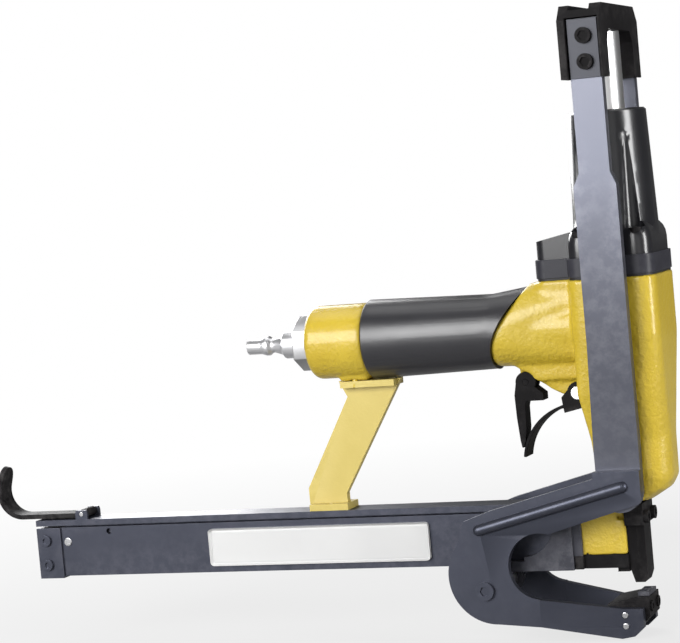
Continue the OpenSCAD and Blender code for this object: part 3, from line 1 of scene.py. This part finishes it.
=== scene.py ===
# Looks for the clinching plier stapler: finishes on every solid, a softened casting and plates,
# a wound feed spring, a bare label plate on the magazine, and the photo's camera.
import json
import math

import bpy
from mathutils import Matrix, Vector


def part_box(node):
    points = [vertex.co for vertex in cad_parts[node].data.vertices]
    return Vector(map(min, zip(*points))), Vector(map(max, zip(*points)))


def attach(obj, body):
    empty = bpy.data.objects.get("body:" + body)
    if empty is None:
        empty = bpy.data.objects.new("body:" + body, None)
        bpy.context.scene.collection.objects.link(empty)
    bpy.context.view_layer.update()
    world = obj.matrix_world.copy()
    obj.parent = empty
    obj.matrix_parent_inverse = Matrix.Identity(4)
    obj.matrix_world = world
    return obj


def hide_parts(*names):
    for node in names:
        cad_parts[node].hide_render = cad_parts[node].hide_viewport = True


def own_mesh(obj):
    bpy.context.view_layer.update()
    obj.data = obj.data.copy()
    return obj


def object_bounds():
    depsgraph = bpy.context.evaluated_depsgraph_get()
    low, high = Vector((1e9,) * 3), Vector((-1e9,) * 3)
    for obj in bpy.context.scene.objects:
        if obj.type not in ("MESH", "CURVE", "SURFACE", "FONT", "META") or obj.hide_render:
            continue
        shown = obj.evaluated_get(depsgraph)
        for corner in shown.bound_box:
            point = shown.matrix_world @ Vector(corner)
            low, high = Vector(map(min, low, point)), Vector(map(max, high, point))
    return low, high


mm = 0.001
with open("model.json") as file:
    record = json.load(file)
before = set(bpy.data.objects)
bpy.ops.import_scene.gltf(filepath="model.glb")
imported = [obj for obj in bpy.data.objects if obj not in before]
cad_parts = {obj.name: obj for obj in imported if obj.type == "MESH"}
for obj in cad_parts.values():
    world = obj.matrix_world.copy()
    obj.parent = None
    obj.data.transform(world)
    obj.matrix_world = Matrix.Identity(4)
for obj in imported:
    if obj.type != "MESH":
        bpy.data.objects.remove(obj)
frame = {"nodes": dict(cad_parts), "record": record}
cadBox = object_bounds()
bodyNodes = frame["record"]["behaviour"]["bodies"]
nodeBody = {node: body for body, nodes in bodyNodes.items() for node in nodes}
nodeSlot = {part["node"]: part["material_slot"] for part in frame["record"]["subparts"]}


# hand tools

meshCopy = {"merge": 0.004, "flat": 0.6}  # millimetres apart, degrees between faces
edgeBreak = {"segments": 2, "sharp": 28, "smooth": 20}  # degrees past which an edge is broken, or stays hard


def deselectAll():
    if bpy.context.object and bpy.context.object.mode != "OBJECT":
        bpy.ops.object.mode_set(mode="OBJECT")
    bpy.ops.object.select_all(action="DESELECT")


def pick(piece):
    deselectAll()
    piece.select_set(True)
    bpy.context.view_layer.objects.active = piece


def applyAll(piece):
    pick(piece)
    for modifier in list(piece.modifiers):
        bpy.ops.object.modifier_apply(modifier=modifier.name)


def settle(piece):  # place goes into the mesh, the object stays at the origin
    pick(piece)
    bpy.ops.object.transform_apply(location=True, rotation=True, scale=True)


def finishWith(piece, material):
    piece.data.materials.clear()
    piece.data.materials.append(material)


def copyNode(name):  # own mesh, loose triangles merged, flat stretches joined
    deselectAll()
    source = frame["nodes"][name]
    piece = source.copy()
    piece.data = source.data.copy()
    piece.name = name + "_piece"
    piece.parent = None
    piece.matrix_world = Matrix.Identity(4)
    bpy.context.scene.collection.objects.link(piece)
    pick(piece)
    bpy.ops.object.mode_set(mode="EDIT")
    bpy.ops.mesh.select_all(action="SELECT")
    bpy.ops.mesh.remove_doubles(threshold=meshCopy["merge"] * mm)
    bpy.ops.mesh.dissolve_limited(angle_limit=math.radians(meshCopy["flat"]), delimit={"NORMAL"})
    bpy.ops.object.mode_set(mode="OBJECT")
    return piece


def standFor(piece, name, *others):
    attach(piece, nodeBody[name])
    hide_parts(name, *others)


def softened(name, width):  # the same solid with its edges broken
    piece = copyNode(name)
    bevel = piece.modifiers.new("edges", "BEVEL")
    bevel.width = width * mm
    bevel.segments = edgeBreak["segments"]
    bevel.limit_method = "ANGLE"
    bevel.angle_limit = math.radians(edgeBreak["sharp"])
    bevel.use_clamp_overlap = True
    bevel.miter_outer = "MITER_ARC"
    applyAll(piece)
    pick(piece)
    bpy.ops.object.shade_smooth_by_angle(angle=math.radians(edgeBreak["smooth"]))  # flat faces stay flat
    standFor(piece, name)
    return piece


# camera, at the photo's place

cameraView = {"turn": 21.6, "rise": 3.4, "roll": 5.2, "lens": 122.37, "sensor": 36.0,
              "place": (278.4, -1068.4, 201.5), "nearest": 50.0}


def addCamera():
    turn, rise, roll = (math.radians(cameraView[key]) for key in ("turn", "rise", "roll"))
    back = Vector((math.sin(turn) * math.cos(rise), -math.cos(turn) * math.cos(rise), math.sin(rise)))
    right = (-back).cross(Vector((0, 0, 1))).normalized()
    up = right.cross(-back)
    side = right * math.cos(roll) - up * math.sin(roll)
    top = up * math.cos(roll) + right * math.sin(roll)
    bpy.ops.object.camera_add()
    camera = bpy.context.object
    camera.name = "photoCamera"
    camera.matrix_world = Matrix((side, top, back)).transposed().to_4x4()
    camera.location = Vector(cameraView["place"]) * mm
    camera.data.lens = cameraView["lens"]
    camera.data.sensor_width = cameraView["sensor"]
    camera.data.clip_start = cameraView["nearest"] * mm
    bpy.context.scene.camera = camera


addCamera()
bpy.context.scene.view_settings.view_transform = "Standard"  # colours as painted
print("camera set")


# shared effects, as node groups

def addNode(tree, kind, x, y, **values):
    node = tree.nodes.new(kind)
    node.location = (x, y)
    for key, value in values.items():
        if key in node.inputs:
            node.inputs[key].default_value = value
        else:
            setattr(node, key, value)
    return node


def newGroup(name, inputs, outputs):
    group = bpy.data.node_groups.new(name, "ShaderNodeTree")
    for label, default in inputs:
        socket = group.interface.new_socket(label, in_out="INPUT", socket_type="NodeSocketFloat")
        socket.default_value = default
    for label, kind in outputs:
        group.interface.new_socket(label, in_out="OUTPUT", socket_type=kind)
    return group, addNode(group, "NodeGroupInput", -900, 0), addNode(group, "NodeGroupOutput", 700, 0)


def ramp(tree, x, y, low, high):
    node = addNode(tree, "ShaderNodeMapRange", x, y)
    node.inputs["From Min"].default_value = low
    node.inputs["From Max"].default_value = high
    return node


def maths(tree, x, y, operation, second=None):
    node = addNode(tree, "ShaderNodeMath", x, y, operation=operation)
    if second is not None:
        node.inputs[1].default_value = second
    return node


def makeCastGrain():  # pebbly skin of a painted casting: a height, and a tone that drifts over it
    group, entry, out = newGroup("castGrain", [("Scale", 900.0), ("Drift", 25.0)],
                                 [("Height", "NodeSocketFloat"), ("Tone", "NodeSocketFloat")])
    coords = addNode(group, "ShaderNodeTexCoord", -900, 300)
    fine = addNode(group, "ShaderNodeTexNoise", -500, 300, Detail=3.0, Roughness=0.55)
    wide = addNode(group, "ShaderNodeTexNoise", -500, -100, Detail=4.0, Roughness=0.6)
    group.links.new(coords.outputs["Object"], fine.inputs["Vector"])
    group.links.new(coords.outputs["Object"], wide.inputs["Vector"])
    group.links.new(entry.outputs["Scale"], fine.inputs["Scale"])
    group.links.new(entry.outputs["Drift"], wide.inputs["Scale"])
    tone = ramp(group, -200, -100, low=0.3, high=0.7)
    group.links.new(wide.outputs["Fac"], tone.inputs["Value"])
    group.links.new(fine.outputs["Fac"], out.inputs["Height"])
    group.links.new(tone.outputs["Result"], out.inputs["Tone"])
    return group


def makeEdgeWear():  # rubbed edges, broken up by noise
    group, entry, out = newGroup("edgeWear", [("Amount", 0.5), ("Scale", 160.0)],
                                 [("Mask", "NodeSocketFloat")])
    shape = addNode(group, "ShaderNodeNewGeometry", -900, 300)
    coords = addNode(group, "ShaderNodeTexCoord", -900, -200)
    edge = ramp(group, -600, 300, low=0.52, high=0.6)
    breakUp = addNode(group, "ShaderNodeTexNoise", -600, -200, Detail=5.0, Roughness=0.7)
    group.links.new(shape.outputs["Pointiness"], edge.inputs["Value"])
    group.links.new(coords.outputs["Object"], breakUp.inputs["Vector"])
    group.links.new(entry.outputs["Scale"], breakUp.inputs["Scale"])
    patchy = ramp(group, -300, -200, low=0.42, high=0.62)
    group.links.new(breakUp.outputs["Fac"], patchy.inputs["Value"])
    both = maths(group, 0, 100, "MULTIPLY")
    group.links.new(edge.outputs["Result"], both.inputs[0])
    group.links.new(patchy.outputs["Result"], both.inputs[1])
    scaled = maths(group, 250, 0, "MULTIPLY")
    group.links.new(both.outputs[0], scaled.inputs[0])
    group.links.new(entry.outputs["Amount"], scaled.inputs[1])
    group.links.new(scaled.outputs[0], out.inputs["Mask"])
    return group


def makeHandling():  # smudges that vary the gloss, and long faint scuffs
    group, entry, out = newGroup("handling", [("Low", 0.3), ("High", 0.45), ("Scale", 45.0)],
                                 [("Roughness", "NodeSocketFloat"), ("Scuff", "NodeSocketFloat")])
    coords = addNode(group, "ShaderNodeTexCoord", -900, 200)
    smudge = addNode(group, "ShaderNodeTexNoise", -550, 250, Detail=6.0, Roughness=0.62)
    group.links.new(coords.outputs["Object"], smudge.inputs["Vector"])
    group.links.new(entry.outputs["Scale"], smudge.inputs["Scale"])
    spread = ramp(group, -200, 250, low=0.3, high=0.7)
    group.links.new(smudge.outputs["Fac"], spread.inputs["Value"])
    group.links.new(entry.outputs["Low"], spread.inputs["To Min"])
    group.links.new(entry.outputs["High"], spread.inputs["To Max"])
    stretch = addNode(group, "ShaderNodeMapping", -700, -200)
    stretch.inputs["Scale"].default_value = (900.0, 900.0, 40.0)
    scuff = addNode(group, "ShaderNodeTexNoise", -450, -200, Scale=1.0, Detail=2.0)
    group.links.new(coords.outputs["Object"], stretch.inputs["Vector"])
    group.links.new(stretch.outputs["Vector"], scuff.inputs["Vector"])
    thin = ramp(group, -150, -200, low=0.62, high=0.75)
    group.links.new(scuff.outputs["Fac"], thin.inputs["Value"])
    group.links.new(spread.outputs["Result"], out.inputs["Roughness"])
    group.links.new(thin.outputs["Result"], out.inputs["Scuff"])
    return group


castGrain = makeCastGrain()
edgeWear = makeEdgeWear()
handling = makeHandling()


# finishes

def placeGroup(tree, group, x, y, **values):
    node = addNode(tree, "ShaderNodeGroup", x, y, node_tree=group)
    for key, value in values.items():
        node.inputs[key].default_value = value
    return node


def mixColor(tree, x, y, first, second):
    node = addNode(tree, "ShaderNodeMix", x, y, data_type="RGBA")
    node.inputs[6].default_value = (*first, 1)
    node.inputs[7].default_value = (*second, 1)
    return node


def makeFinish(name, look):
    material = bpy.data.materials.new(name)
    material.use_nodes = True
    tree = material.node_tree
    shader = tree.nodes["Principled BSDF"]
    shader.inputs["Metallic"].default_value = look.get("metallic", 0.0)
    shader.inputs["Specular IOR Level"].default_value = look.get("specular", 0.5)
    shader.inputs["Coat Weight"].default_value = look.get("coat", 0.0)
    shader.inputs["Coat Roughness"].default_value = look.get("coatRough", 0.1)
    grain = placeGroup(tree, castGrain, -900, 300, Scale=look["grain"], Drift=look.get("drift", 25.0))
    touch = placeGroup(tree, handling, -900, -50, Low=look["rough"][0], High=look["rough"][1],
                       Scale=look.get("smudge", 45.0))
    wear = placeGroup(tree, edgeWear, -900, -350, Amount=look.get("wear", 0.0))
    base = mixColor(tree, -550, 300, look["dark"], look["light"])
    rubbed = mixColor(tree, -250, 300, look["light"], look.get("bare", look["light"]))
    tree.links.new(grain.outputs["Tone"], base.inputs["Factor"])
    tree.links.new(base.outputs[2], rubbed.inputs[6])
    tree.links.new(wear.outputs["Mask"], rubbed.inputs["Factor"])
    tree.links.new(rubbed.outputs[2], shader.inputs["Base Color"])
    tree.links.new(touch.outputs["Roughness"], shader.inputs["Roughness"])
    height = maths(tree, -550, -50, "MULTIPLY_ADD", look.get("scuff", 0.0))
    tree.links.new(touch.outputs["Scuff"], height.inputs[0])
    tree.links.new(grain.outputs["Height"], height.inputs[2])
    bump = addNode(tree, "ShaderNodeBump", -250, -150, Strength=look["bump"], Distance=look["depth"] * mm)
    tree.links.new(height.outputs[0], bump.inputs["Height"])
    tree.links.new(bump.outputs["Normal"], shader.inputs["Normal"])
    return material


finishes = {
    "yellowPaint": {
        "dark": (0.49, 0.345, 0.022), "light": (0.58, 0.425, 0.036), "bare": (0.68, 0.54, 0.16),
        "wear": 0.45, "rough": (0.34, 0.46), "grain": 430.0, "depth": 0.9, "bump": 0.8, "specular": 0.3,
        "coat": 0.6, "coatRough": 0.2},
    # the strut's yellow paint, paler and whiter than the casting's: its own paint with a painted sheen mixed
    # into the colour
    "strutPaint": {
        "dark": (0.5, 0.39, 0.09), "light": (0.57, 0.455, 0.125), "bare": (0.7, 0.58, 0.2), "wear": 0.45,
        "rough": (0.34, 0.44), "grain": 700.0, "depth": 0.2, "bump": 0.3, "specular": 0.45},
    "darkCasting": {
        "dark": (0.023, 0.023, 0.03), "light": (0.033, 0.033, 0.042), "bare": (0.1, 0.1, 0.11),
        "wear": 0.4, "rough": (0.36, 0.44), "grain": 1500.0, "depth": 0.1, "bump": 0.2, "specular": 0.25},
    "glossBlack": {
        "dark": (0.007, 0.007, 0.009), "light": (0.011, 0.011, 0.014), "bare": (0.05, 0.05, 0.06),
        "wear": 0.3, "rough": (0.3, 0.38), "grain": 1500.0, "depth": 0.1, "bump": 0.15, "specular": 0.3,
        "coat": 0.9, "coatRough": 0.2},
    "leverSteel": {
        "dark": (0.052, 0.056, 0.075), "light": (0.061, 0.065, 0.086), "bare": (0.16, 0.16, 0.19),
        "wear": 0.3, "rough": (0.34, 0.42), "grain": 1800.0, "depth": 0.05, "bump": 0.15,
        "metallic": 0.7, "specular": 0.3, "drift": 9.0},
    "linkSteel": {
        "dark": (0.115, 0.12, 0.148), "light": (0.138, 0.143, 0.172), "bare": (0.36, 0.36, 0.4),
        "wear": 0.5, "rough": (0.36, 0.42), "grain": 1800.0, "depth": 0.04, "bump": 0.15,
        "metallic": 0.8, "scuff": 0.3, "drift": 7.0, "smudge": 14.0},
    "plateSteel": {
        "dark": (0.04, 0.041, 0.051), "light": (0.05, 0.051, 0.063), "bare": (0.2, 0.2, 0.22),
        "wear": 0.4, "rough": (0.42, 0.52), "grain": 1800.0, "depth": 0.06, "bump": 0.2, "metallic": 0.4,
        "specular": 0.25},
    "blackSteel": {
        "dark": (0.009, 0.0085, 0.009), "light": (0.014, 0.0132, 0.014), "bare": (0.09, 0.085, 0.085),
        "wear": 0.35, "rough": (0.46, 0.56), "grain": 1800.0, "depth": 0.05, "bump": 0.2,
        "specular": 0.04},
    "brightSteel": {
        "dark": (0.52, 0.52, 0.53), "light": (0.6, 0.6, 0.61), "rough": (0.24, 0.34), "grain": 2200.0,
        "depth": 0.03, "bump": 0.15, "metallic": 1.0, "scuff": 0.5},
    "chromePlate": {
        "dark": (0.86, 0.86, 0.88), "light": (0.92, 0.92, 0.93), "rough": (0.34, 0.42), "grain": 2500.0,
        "depth": 0.01, "bump": 0.1, "metallic": 1.0},
    "hardChrome": {
        "dark": (0.9, 0.9, 0.91), "light": (0.95, 0.95, 0.95), "rough": (0.28, 0.34), "grain": 2500.0,
        "depth": 0.01, "bump": 0.1, "metallic": 1.0},
    "turnedAlloy": {
        "dark": (0.86, 0.86, 0.87), "light": (0.93, 0.93, 0.93), "rough": (0.3, 0.42), "grain": 2000.0,
        "depth": 0.03, "bump": 0.15, "metallic": 1.0},
    "bronze": {
        "dark": (0.4, 0.27, 0.1), "light": (0.48, 0.33, 0.13), "rough": (0.35, 0.5), "grain": 2000.0,
        "depth": 0.04, "bump": 0.2, "metallic": 1.0},
    "gripRubber": {
        "dark": (0.013, 0.0125, 0.016), "light": (0.018, 0.0175, 0.021), "bare": (0.045, 0.045, 0.05),
        "wear": 0.3, "rough": (0.32, 0.4), "grain": 1300.0, "depth": 0.1, "bump": 0.3, "specular": 0.8},
    "blackRubber": {
        "dark": (0.01, 0.01, 0.01), "light": (0.016, 0.016, 0.016), "rough": (0.5, 0.65),
        "grain": 1500.0, "depth": 0.08, "bump": 0.25},
    "labelWhite": {
        "dark": (0.56, 0.56, 0.56), "light": (0.61, 0.61, 0.605), "rough": (0.3, 0.38), "grain": 2500.0,
        "depth": 0.01, "bump": 0.05, "drift": 12.0},
}
made = {name: makeFinish(name, look) for name, look in finishes.items()}

# colour of the painted shade on the links' upper ends, and the height in millimetres over which it blends in
linkEndShade = {"tone": (0.036, 0.037, 0.043), "blend": 0.05}


def shadeLinkEnds(material):  # painted shade: the links are darkened above the crosshead's lower edge, where the crosshead's recess shades them
    tree = material.node_tree
    paint = tree.nodes["Principled BSDF"].inputs["Base Color"]
    plain = paint.links[0].from_socket
    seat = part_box("crosshead")[0][2]
    coords = addNode(tree, "ShaderNodeTexCoord", -900, 650)
    split = addNode(tree, "ShaderNodeSeparateXYZ", -700, 650)
    above = ramp(tree, -500, 650, seat - linkEndShade["blend"] * mm, seat + linkEndShade["blend"] * mm)
    shadedEnds = mixColor(tree, -50, 450, linkEndShade["tone"], linkEndShade["tone"])
    tree.links.new(coords.outputs["Object"], split.inputs["Vector"])
    tree.links.new(split.outputs["Z"], above.inputs["Value"])
    tree.links.new(above.outputs["Result"], shadedEnds.inputs["Factor"])
    tree.links.new(plain, shadedEnds.inputs[6])
    tree.links.new(shadedEnds.outputs[2], paint)


shadeLinkEnds(made["linkSteel"])
print("finishes made:", len(made))

slotFinish = {"yellow_paint": "yellowPaint", "dark_casting": "darkCasting", "lever_steel": "leverSteel",
              "bright_steel": "brightSteel", "plate_steel": "plateSteel", "black_steel": "blackSteel",
              "chrome": "chromePlate", "light_alloy": "turnedAlloy", "bronze": "bronze",
              "grip_rubber": "gripRubber", "black_rubber": "blackRubber"}
for name, slotName in nodeSlot.items():
    finishWith(frame["nodes"][name], made[slotFinish[slotName]])


# the yellow casting: one skin with the soft edges of a sand casting

castSkin = {"voxel": 0.9, "turns": 14, "strength": 0.5, "rim": 1.4, "rimShare": 0.15}


def softenCasting():
    walls = copyNode("leg_walls")  # cast in one with the body
    piece = copyNode("body_casting")
    walls.select_set(True)
    bpy.ops.object.join()
    remesh = piece.modifiers.new("skin", "REMESH")
    remesh.mode = "VOXEL"
    remesh.voxel_size = castSkin["voxel"] * mm
    applyAll(piece)
    low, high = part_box("body_casting")
    rim = castSkin["rim"] * mm  # machined faces at the top, the handle's end and the leg stay crisp
    soft = piece.vertex_groups.new(name="soft")
    for vertex in piece.data.vertices:
        x, z = vertex.co.x, vertex.co.z
        crisp = z > high[2] - rim or x < low[0] + rim or z < low[2] + rim
        soft.add([vertex.index], castSkin["rimShare"] if crisp else 1.0, "REPLACE")
    smooth = piece.modifiers.new("soften", "SMOOTH")
    smooth.factor = castSkin["strength"]
    smooth.iterations = castSkin["turns"]
    smooth.vertex_group = "soft"
    applyAll(piece)
    pick(piece)
    bpy.ops.object.shade_smooth()
    standFor(piece, "body_casting", "leg_walls")
    finishWith(piece, made["yellowPaint"])


softenCasting()
print("casting softened")


# plates and blocks with broken edges

brokenEdges = {
    "head_cap": 0.7, "clinch_cylinder": 0.6, "crosshead": 0.8, "link_near": 0.08, "link_far": 0.08,
    "clinch_rod": 0.4, "lever_cheek_near": 0.7, "lever_cheek_far": 0.7, "anvil_block": 0.8,
    "clinch_die": 0.3, "strut": 0.6, "top_rail": 0.4, "magazine_channel": 0.3, "end_block": 0.9,
    "driver_guide": 0.6, "front_plate": 0.6, "base_plate": 0.5, "pivot_plate_near": 0.5,
    "pivot_plate_far": 0.5, "trigger": 0.3, "trigger_catch": 0.6, "latch_hook": 0.5, "grip_sleeve": 0.6,
    "inlet_bush": 0.5, "air_plug": 0.3, "head_screws": 0.4, "link_screws": 0.4,
    "front_plate_screws": 0.15, "leg_screws": 0.3, "strut_screws": 0.3, "end_block_bolts": 0.3,
    "pivot_bolt": 0.4, "anvil_pins": 0.3, "anvil_screws": 0.25, "trigger_pin": 0.4, "channel_pin": 0.3,
    "rod_bush": 0.3, "base_plate_screws": 0.2, "pivot_spacer": 0.2, "pivot_sleeves": 0.3,
    "catch_pin": 0.2, "latch_pin": 0.2, "link_pins": 0.3, "valve_stem": 0.2, "valve_bush": 0.2,
}
ownFinish = {"link_near": "linkSteel", "link_far": "linkSteel", "strut": "strutPaint",
             "clinch_rod": "hardChrome", "clinch_cylinder": "glossBlack", "crosshead": "blackSteel",
             "link_screws": "blackSteel"}
for name, width in brokenEdges.items():
    piece = softened(name, width)
    finishWith(piece, made[ownFinish.get(name, slotFinish[nodeSlot[name]])])
print("edges broken on", len(brokenEdges), "nodes")


# coil spring behind the pusher, standing in for the feed spring; it rides with the feed spring's body and
# keeps its length

feedCoil = {"turns": 90, "wire": 0.4, "sides": 8, "steps": 16, "travel": 140.0, "smooth": 60}


def windSpring():
    deselectAll()
    low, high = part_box("feed_spring")
    wire = feedCoil["wire"] * mm
    axisZ = (low[2] + high[2]) / 2
    bpy.ops.mesh.primitive_circle_add(vertices=feedCoil["sides"], radius=wire,
                                      rotation=(math.radians(90), 0, 0))
    piece = bpy.context.object
    piece.name = "feed_coil"
    settle(piece)
    bpy.ops.object.mode_set(mode="EDIT")
    bpy.ops.mesh.select_all(action="SELECT")
    bpy.ops.transform.translate(value=(0, 0, (high[1] - low[1]) / 2 - wire))
    bpy.ops.object.mode_set(mode="OBJECT")
    winding = piece.modifiers.new("winding", "SCREW")
    winding.axis = "X"
    winding.steps = winding.render_steps = feedCoil["steps"]
    winding.iterations = feedCoil["turns"]
    winding.screw_offset = (high[0] - low[0] - 2 * wire) / feedCoil["turns"]
    applyAll(piece)
    bpy.ops.object.mode_set(mode="EDIT")
    bpy.ops.mesh.select_all(action="SELECT")
    bpy.ops.mesh.fill_holes(sides=0)
    bpy.ops.mesh.normals_make_consistent(inside=False)
    bpy.ops.object.mode_set(mode="OBJECT")
    piece.location = (low[0] + wire, 0, axisZ)
    settle(piece)
    bpy.ops.object.shade_smooth_by_angle(angle=math.radians(feedCoil["smooth"]))
    finishWith(piece, made["brightSteel"])
    standFor(piece, "feed_spring")
    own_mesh(piece)


windSpring()
print("feed spring wound")


# bare label plate on the near wall of the magazine

labelPlate = {"left": -223.8, "right": -104.8, "low": 13.4, "high": 32.4, "thick": 0.4, "corner": 2.0,
              "cornerSteps": 6}


def addLabel():
    deselectAll()
    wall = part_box("magazine_channel")[0][1]
    width = (labelPlate["right"] - labelPlate["left"]) * mm
    height = (labelPlate["high"] - labelPlate["low"]) * mm
    middle = Vector(((labelPlate["right"] + labelPlate["left"]) / 2 * mm,
                     wall - labelPlate["thick"] * mm / 2,
                     (labelPlate["high"] + labelPlate["low"]) / 2 * mm))
    bpy.ops.mesh.primitive_cube_add(size=1, location=middle)
    piece = bpy.context.object
    piece.name = "label_plate"
    piece.scale = (width, labelPlate["thick"] * mm, height)
    settle(piece)
    bpy.ops.object.mode_set(mode="EDIT")
    bpy.ops.mesh.select_all(action="DESELECT")
    bpy.ops.object.mode_set(mode="OBJECT")
    for edge in piece.data.edges:
        first, second = (piece.data.vertices[i].co for i in edge.vertices)
        edge.select = abs(first.y - second.y) > 0.5 * labelPlate["thick"] * mm
    bpy.ops.object.mode_set(mode="EDIT")
    bpy.ops.mesh.select_mode(type="EDGE")
    bpy.ops.mesh.bevel(offset=labelPlate["corner"] * mm, segments=labelPlate["cornerSteps"], affect="EDGES")
    bpy.ops.object.mode_set(mode="OBJECT")
    finishWith(piece, made["labelWhite"])
    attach(piece, "magazine")


addLabel()
print("label plate added")


# pale floor, white air and soft studio light

studio = {"floorDrop": 1.0, "radius": 9.0, "pale": (0.32, 0.32, 0.32), "lift": 0.74, "fadeFrom": 0.3,
          "fadeTo": 0.9, "air": 0.1, "sides": 96, "rough": 0.9}


def addFloor():  # pale round floor that runs out into white
    deselectAll()
    floorZ = cadBox[0][2] - studio["floorDrop"] * mm
    bpy.ops.mesh.primitive_circle_add(vertices=studio["sides"], radius=studio["radius"], fill_type="NGON",
                                      location=(0, 0, floorZ))
    floor = bpy.context.object
    floor.name = "studioFloor"
    settle(floor)
    pale = bpy.data.materials.new("paleFloor")
    pale.use_nodes = True
    tree = pale.node_tree
    shader = tree.nodes["Principled BSDF"]
    shader.inputs["Base Color"].default_value = (*studio["pale"], 1)
    shader.inputs["Roughness"].default_value = studio["rough"]
    glow = addNode(tree, "ShaderNodeEmission", 0, -300)
    rays = addNode(tree, "ShaderNodeLightPath", -600, 300)
    coords = addNode(tree, "ShaderNodeTexCoord", -900, -100)
    reach = addNode(tree, "ShaderNodeVectorMath", -650, -100, operation="LENGTH")
    away = ramp(tree, -400, -100, studio["fadeFrom"], studio["fadeTo"])
    away.inputs["To Min"].default_value = studio["lift"]
    seen = maths(tree, -150, 100, "MULTIPLY")
    mix = addNode(tree, "ShaderNodeMixShader", 300, 0)
    tree.links.new(coords.outputs["Object"], reach.inputs[0])
    tree.links.new(reach.outputs["Value"], away.inputs["Value"])
    tree.links.new(rays.outputs["Is Camera Ray"], seen.inputs[0])
    tree.links.new(away.outputs["Result"], seen.inputs[1])
    tree.links.new(seen.outputs[0], mix.inputs["Fac"])
    tree.links.new(shader.outputs["BSDF"], mix.inputs[1])
    tree.links.new(glow.outputs["Emission"], mix.inputs[2])
    tree.links.new(mix.outputs["Shader"], tree.nodes["Material Output"].inputs["Surface"])
    finishWith(floor, pale)


def addAir():  # white to look at, dim as a light
    world = bpy.data.worlds.new("studioAir")
    bpy.context.scene.world = world
    world.use_nodes = True
    tree = world.node_tree
    dim = tree.nodes["Background"]
    dim.inputs["Color"].default_value = (1, 1, 1, 1)
    dim.inputs["Strength"].default_value = studio["air"]
    white = addNode(tree, "ShaderNodeBackground", 0, -200)
    white.inputs["Color"].default_value = (1, 1, 1, 1)
    rays = addNode(tree, "ShaderNodeLightPath", -300, 300)
    mix = addNode(tree, "ShaderNodeMixShader", 300, 0)
    tree.links.new(rays.outputs["Is Camera Ray"], mix.inputs["Fac"])
    tree.links.new(dim.outputs["Background"], mix.inputs[1])
    tree.links.new(white.outputs["Background"], mix.inputs[2])
    tree.links.new(mix.outputs["Shader"], tree.nodes["World Output"].inputs["Surface"])


lamps = [
    {"name": "keyBox", "place": (-0.65, -1.3, 0.55), "aim": (-0.08, 0, 0.15), "size": (1.1, 0.8),
     "power": 27},
    {"name": "fillCard", "place": (0.6, -1.5, 0.4), "aim": (-0.05, 0, 0.15), "size": (0.9, 0.9),
     "power": 1.8},
    {"name": "strip", "place": (1.1, -0.3, 0.35), "aim": (0, 0, 0.2), "size": (0.34, 0.9), "power": 14},
    {"name": "topBox", "place": (-0.15, 0.15, 1.3), "aim": (-0.12, 0, 0.1), "size": (1.2, 0.8),
     "power": 5},
    {"name": "backCard", "place": (-1.0, 0.95, 0.6), "aim": (-0.1, 0, 0.15), "size": (0.8, 0.8),
     "power": 14},
]


def addLamps():
    for lamp in lamps:
        deselectAll()
        bpy.ops.object.light_add(type="AREA", location=lamp["place"])
        light = bpy.context.object
        light.name = lamp["name"]
        light.data.shape = "RECTANGLE"
        light.data.size, light.data.size_y = lamp["size"]
        light.data.energy = lamp["power"]
        aim = Vector(lamp["aim"]) - Vector(lamp["place"])
        light.rotation_euler = aim.to_track_quat("-Z", "Y").to_euler()


addFloor()
addAir()
addLamps()
print("studio set")
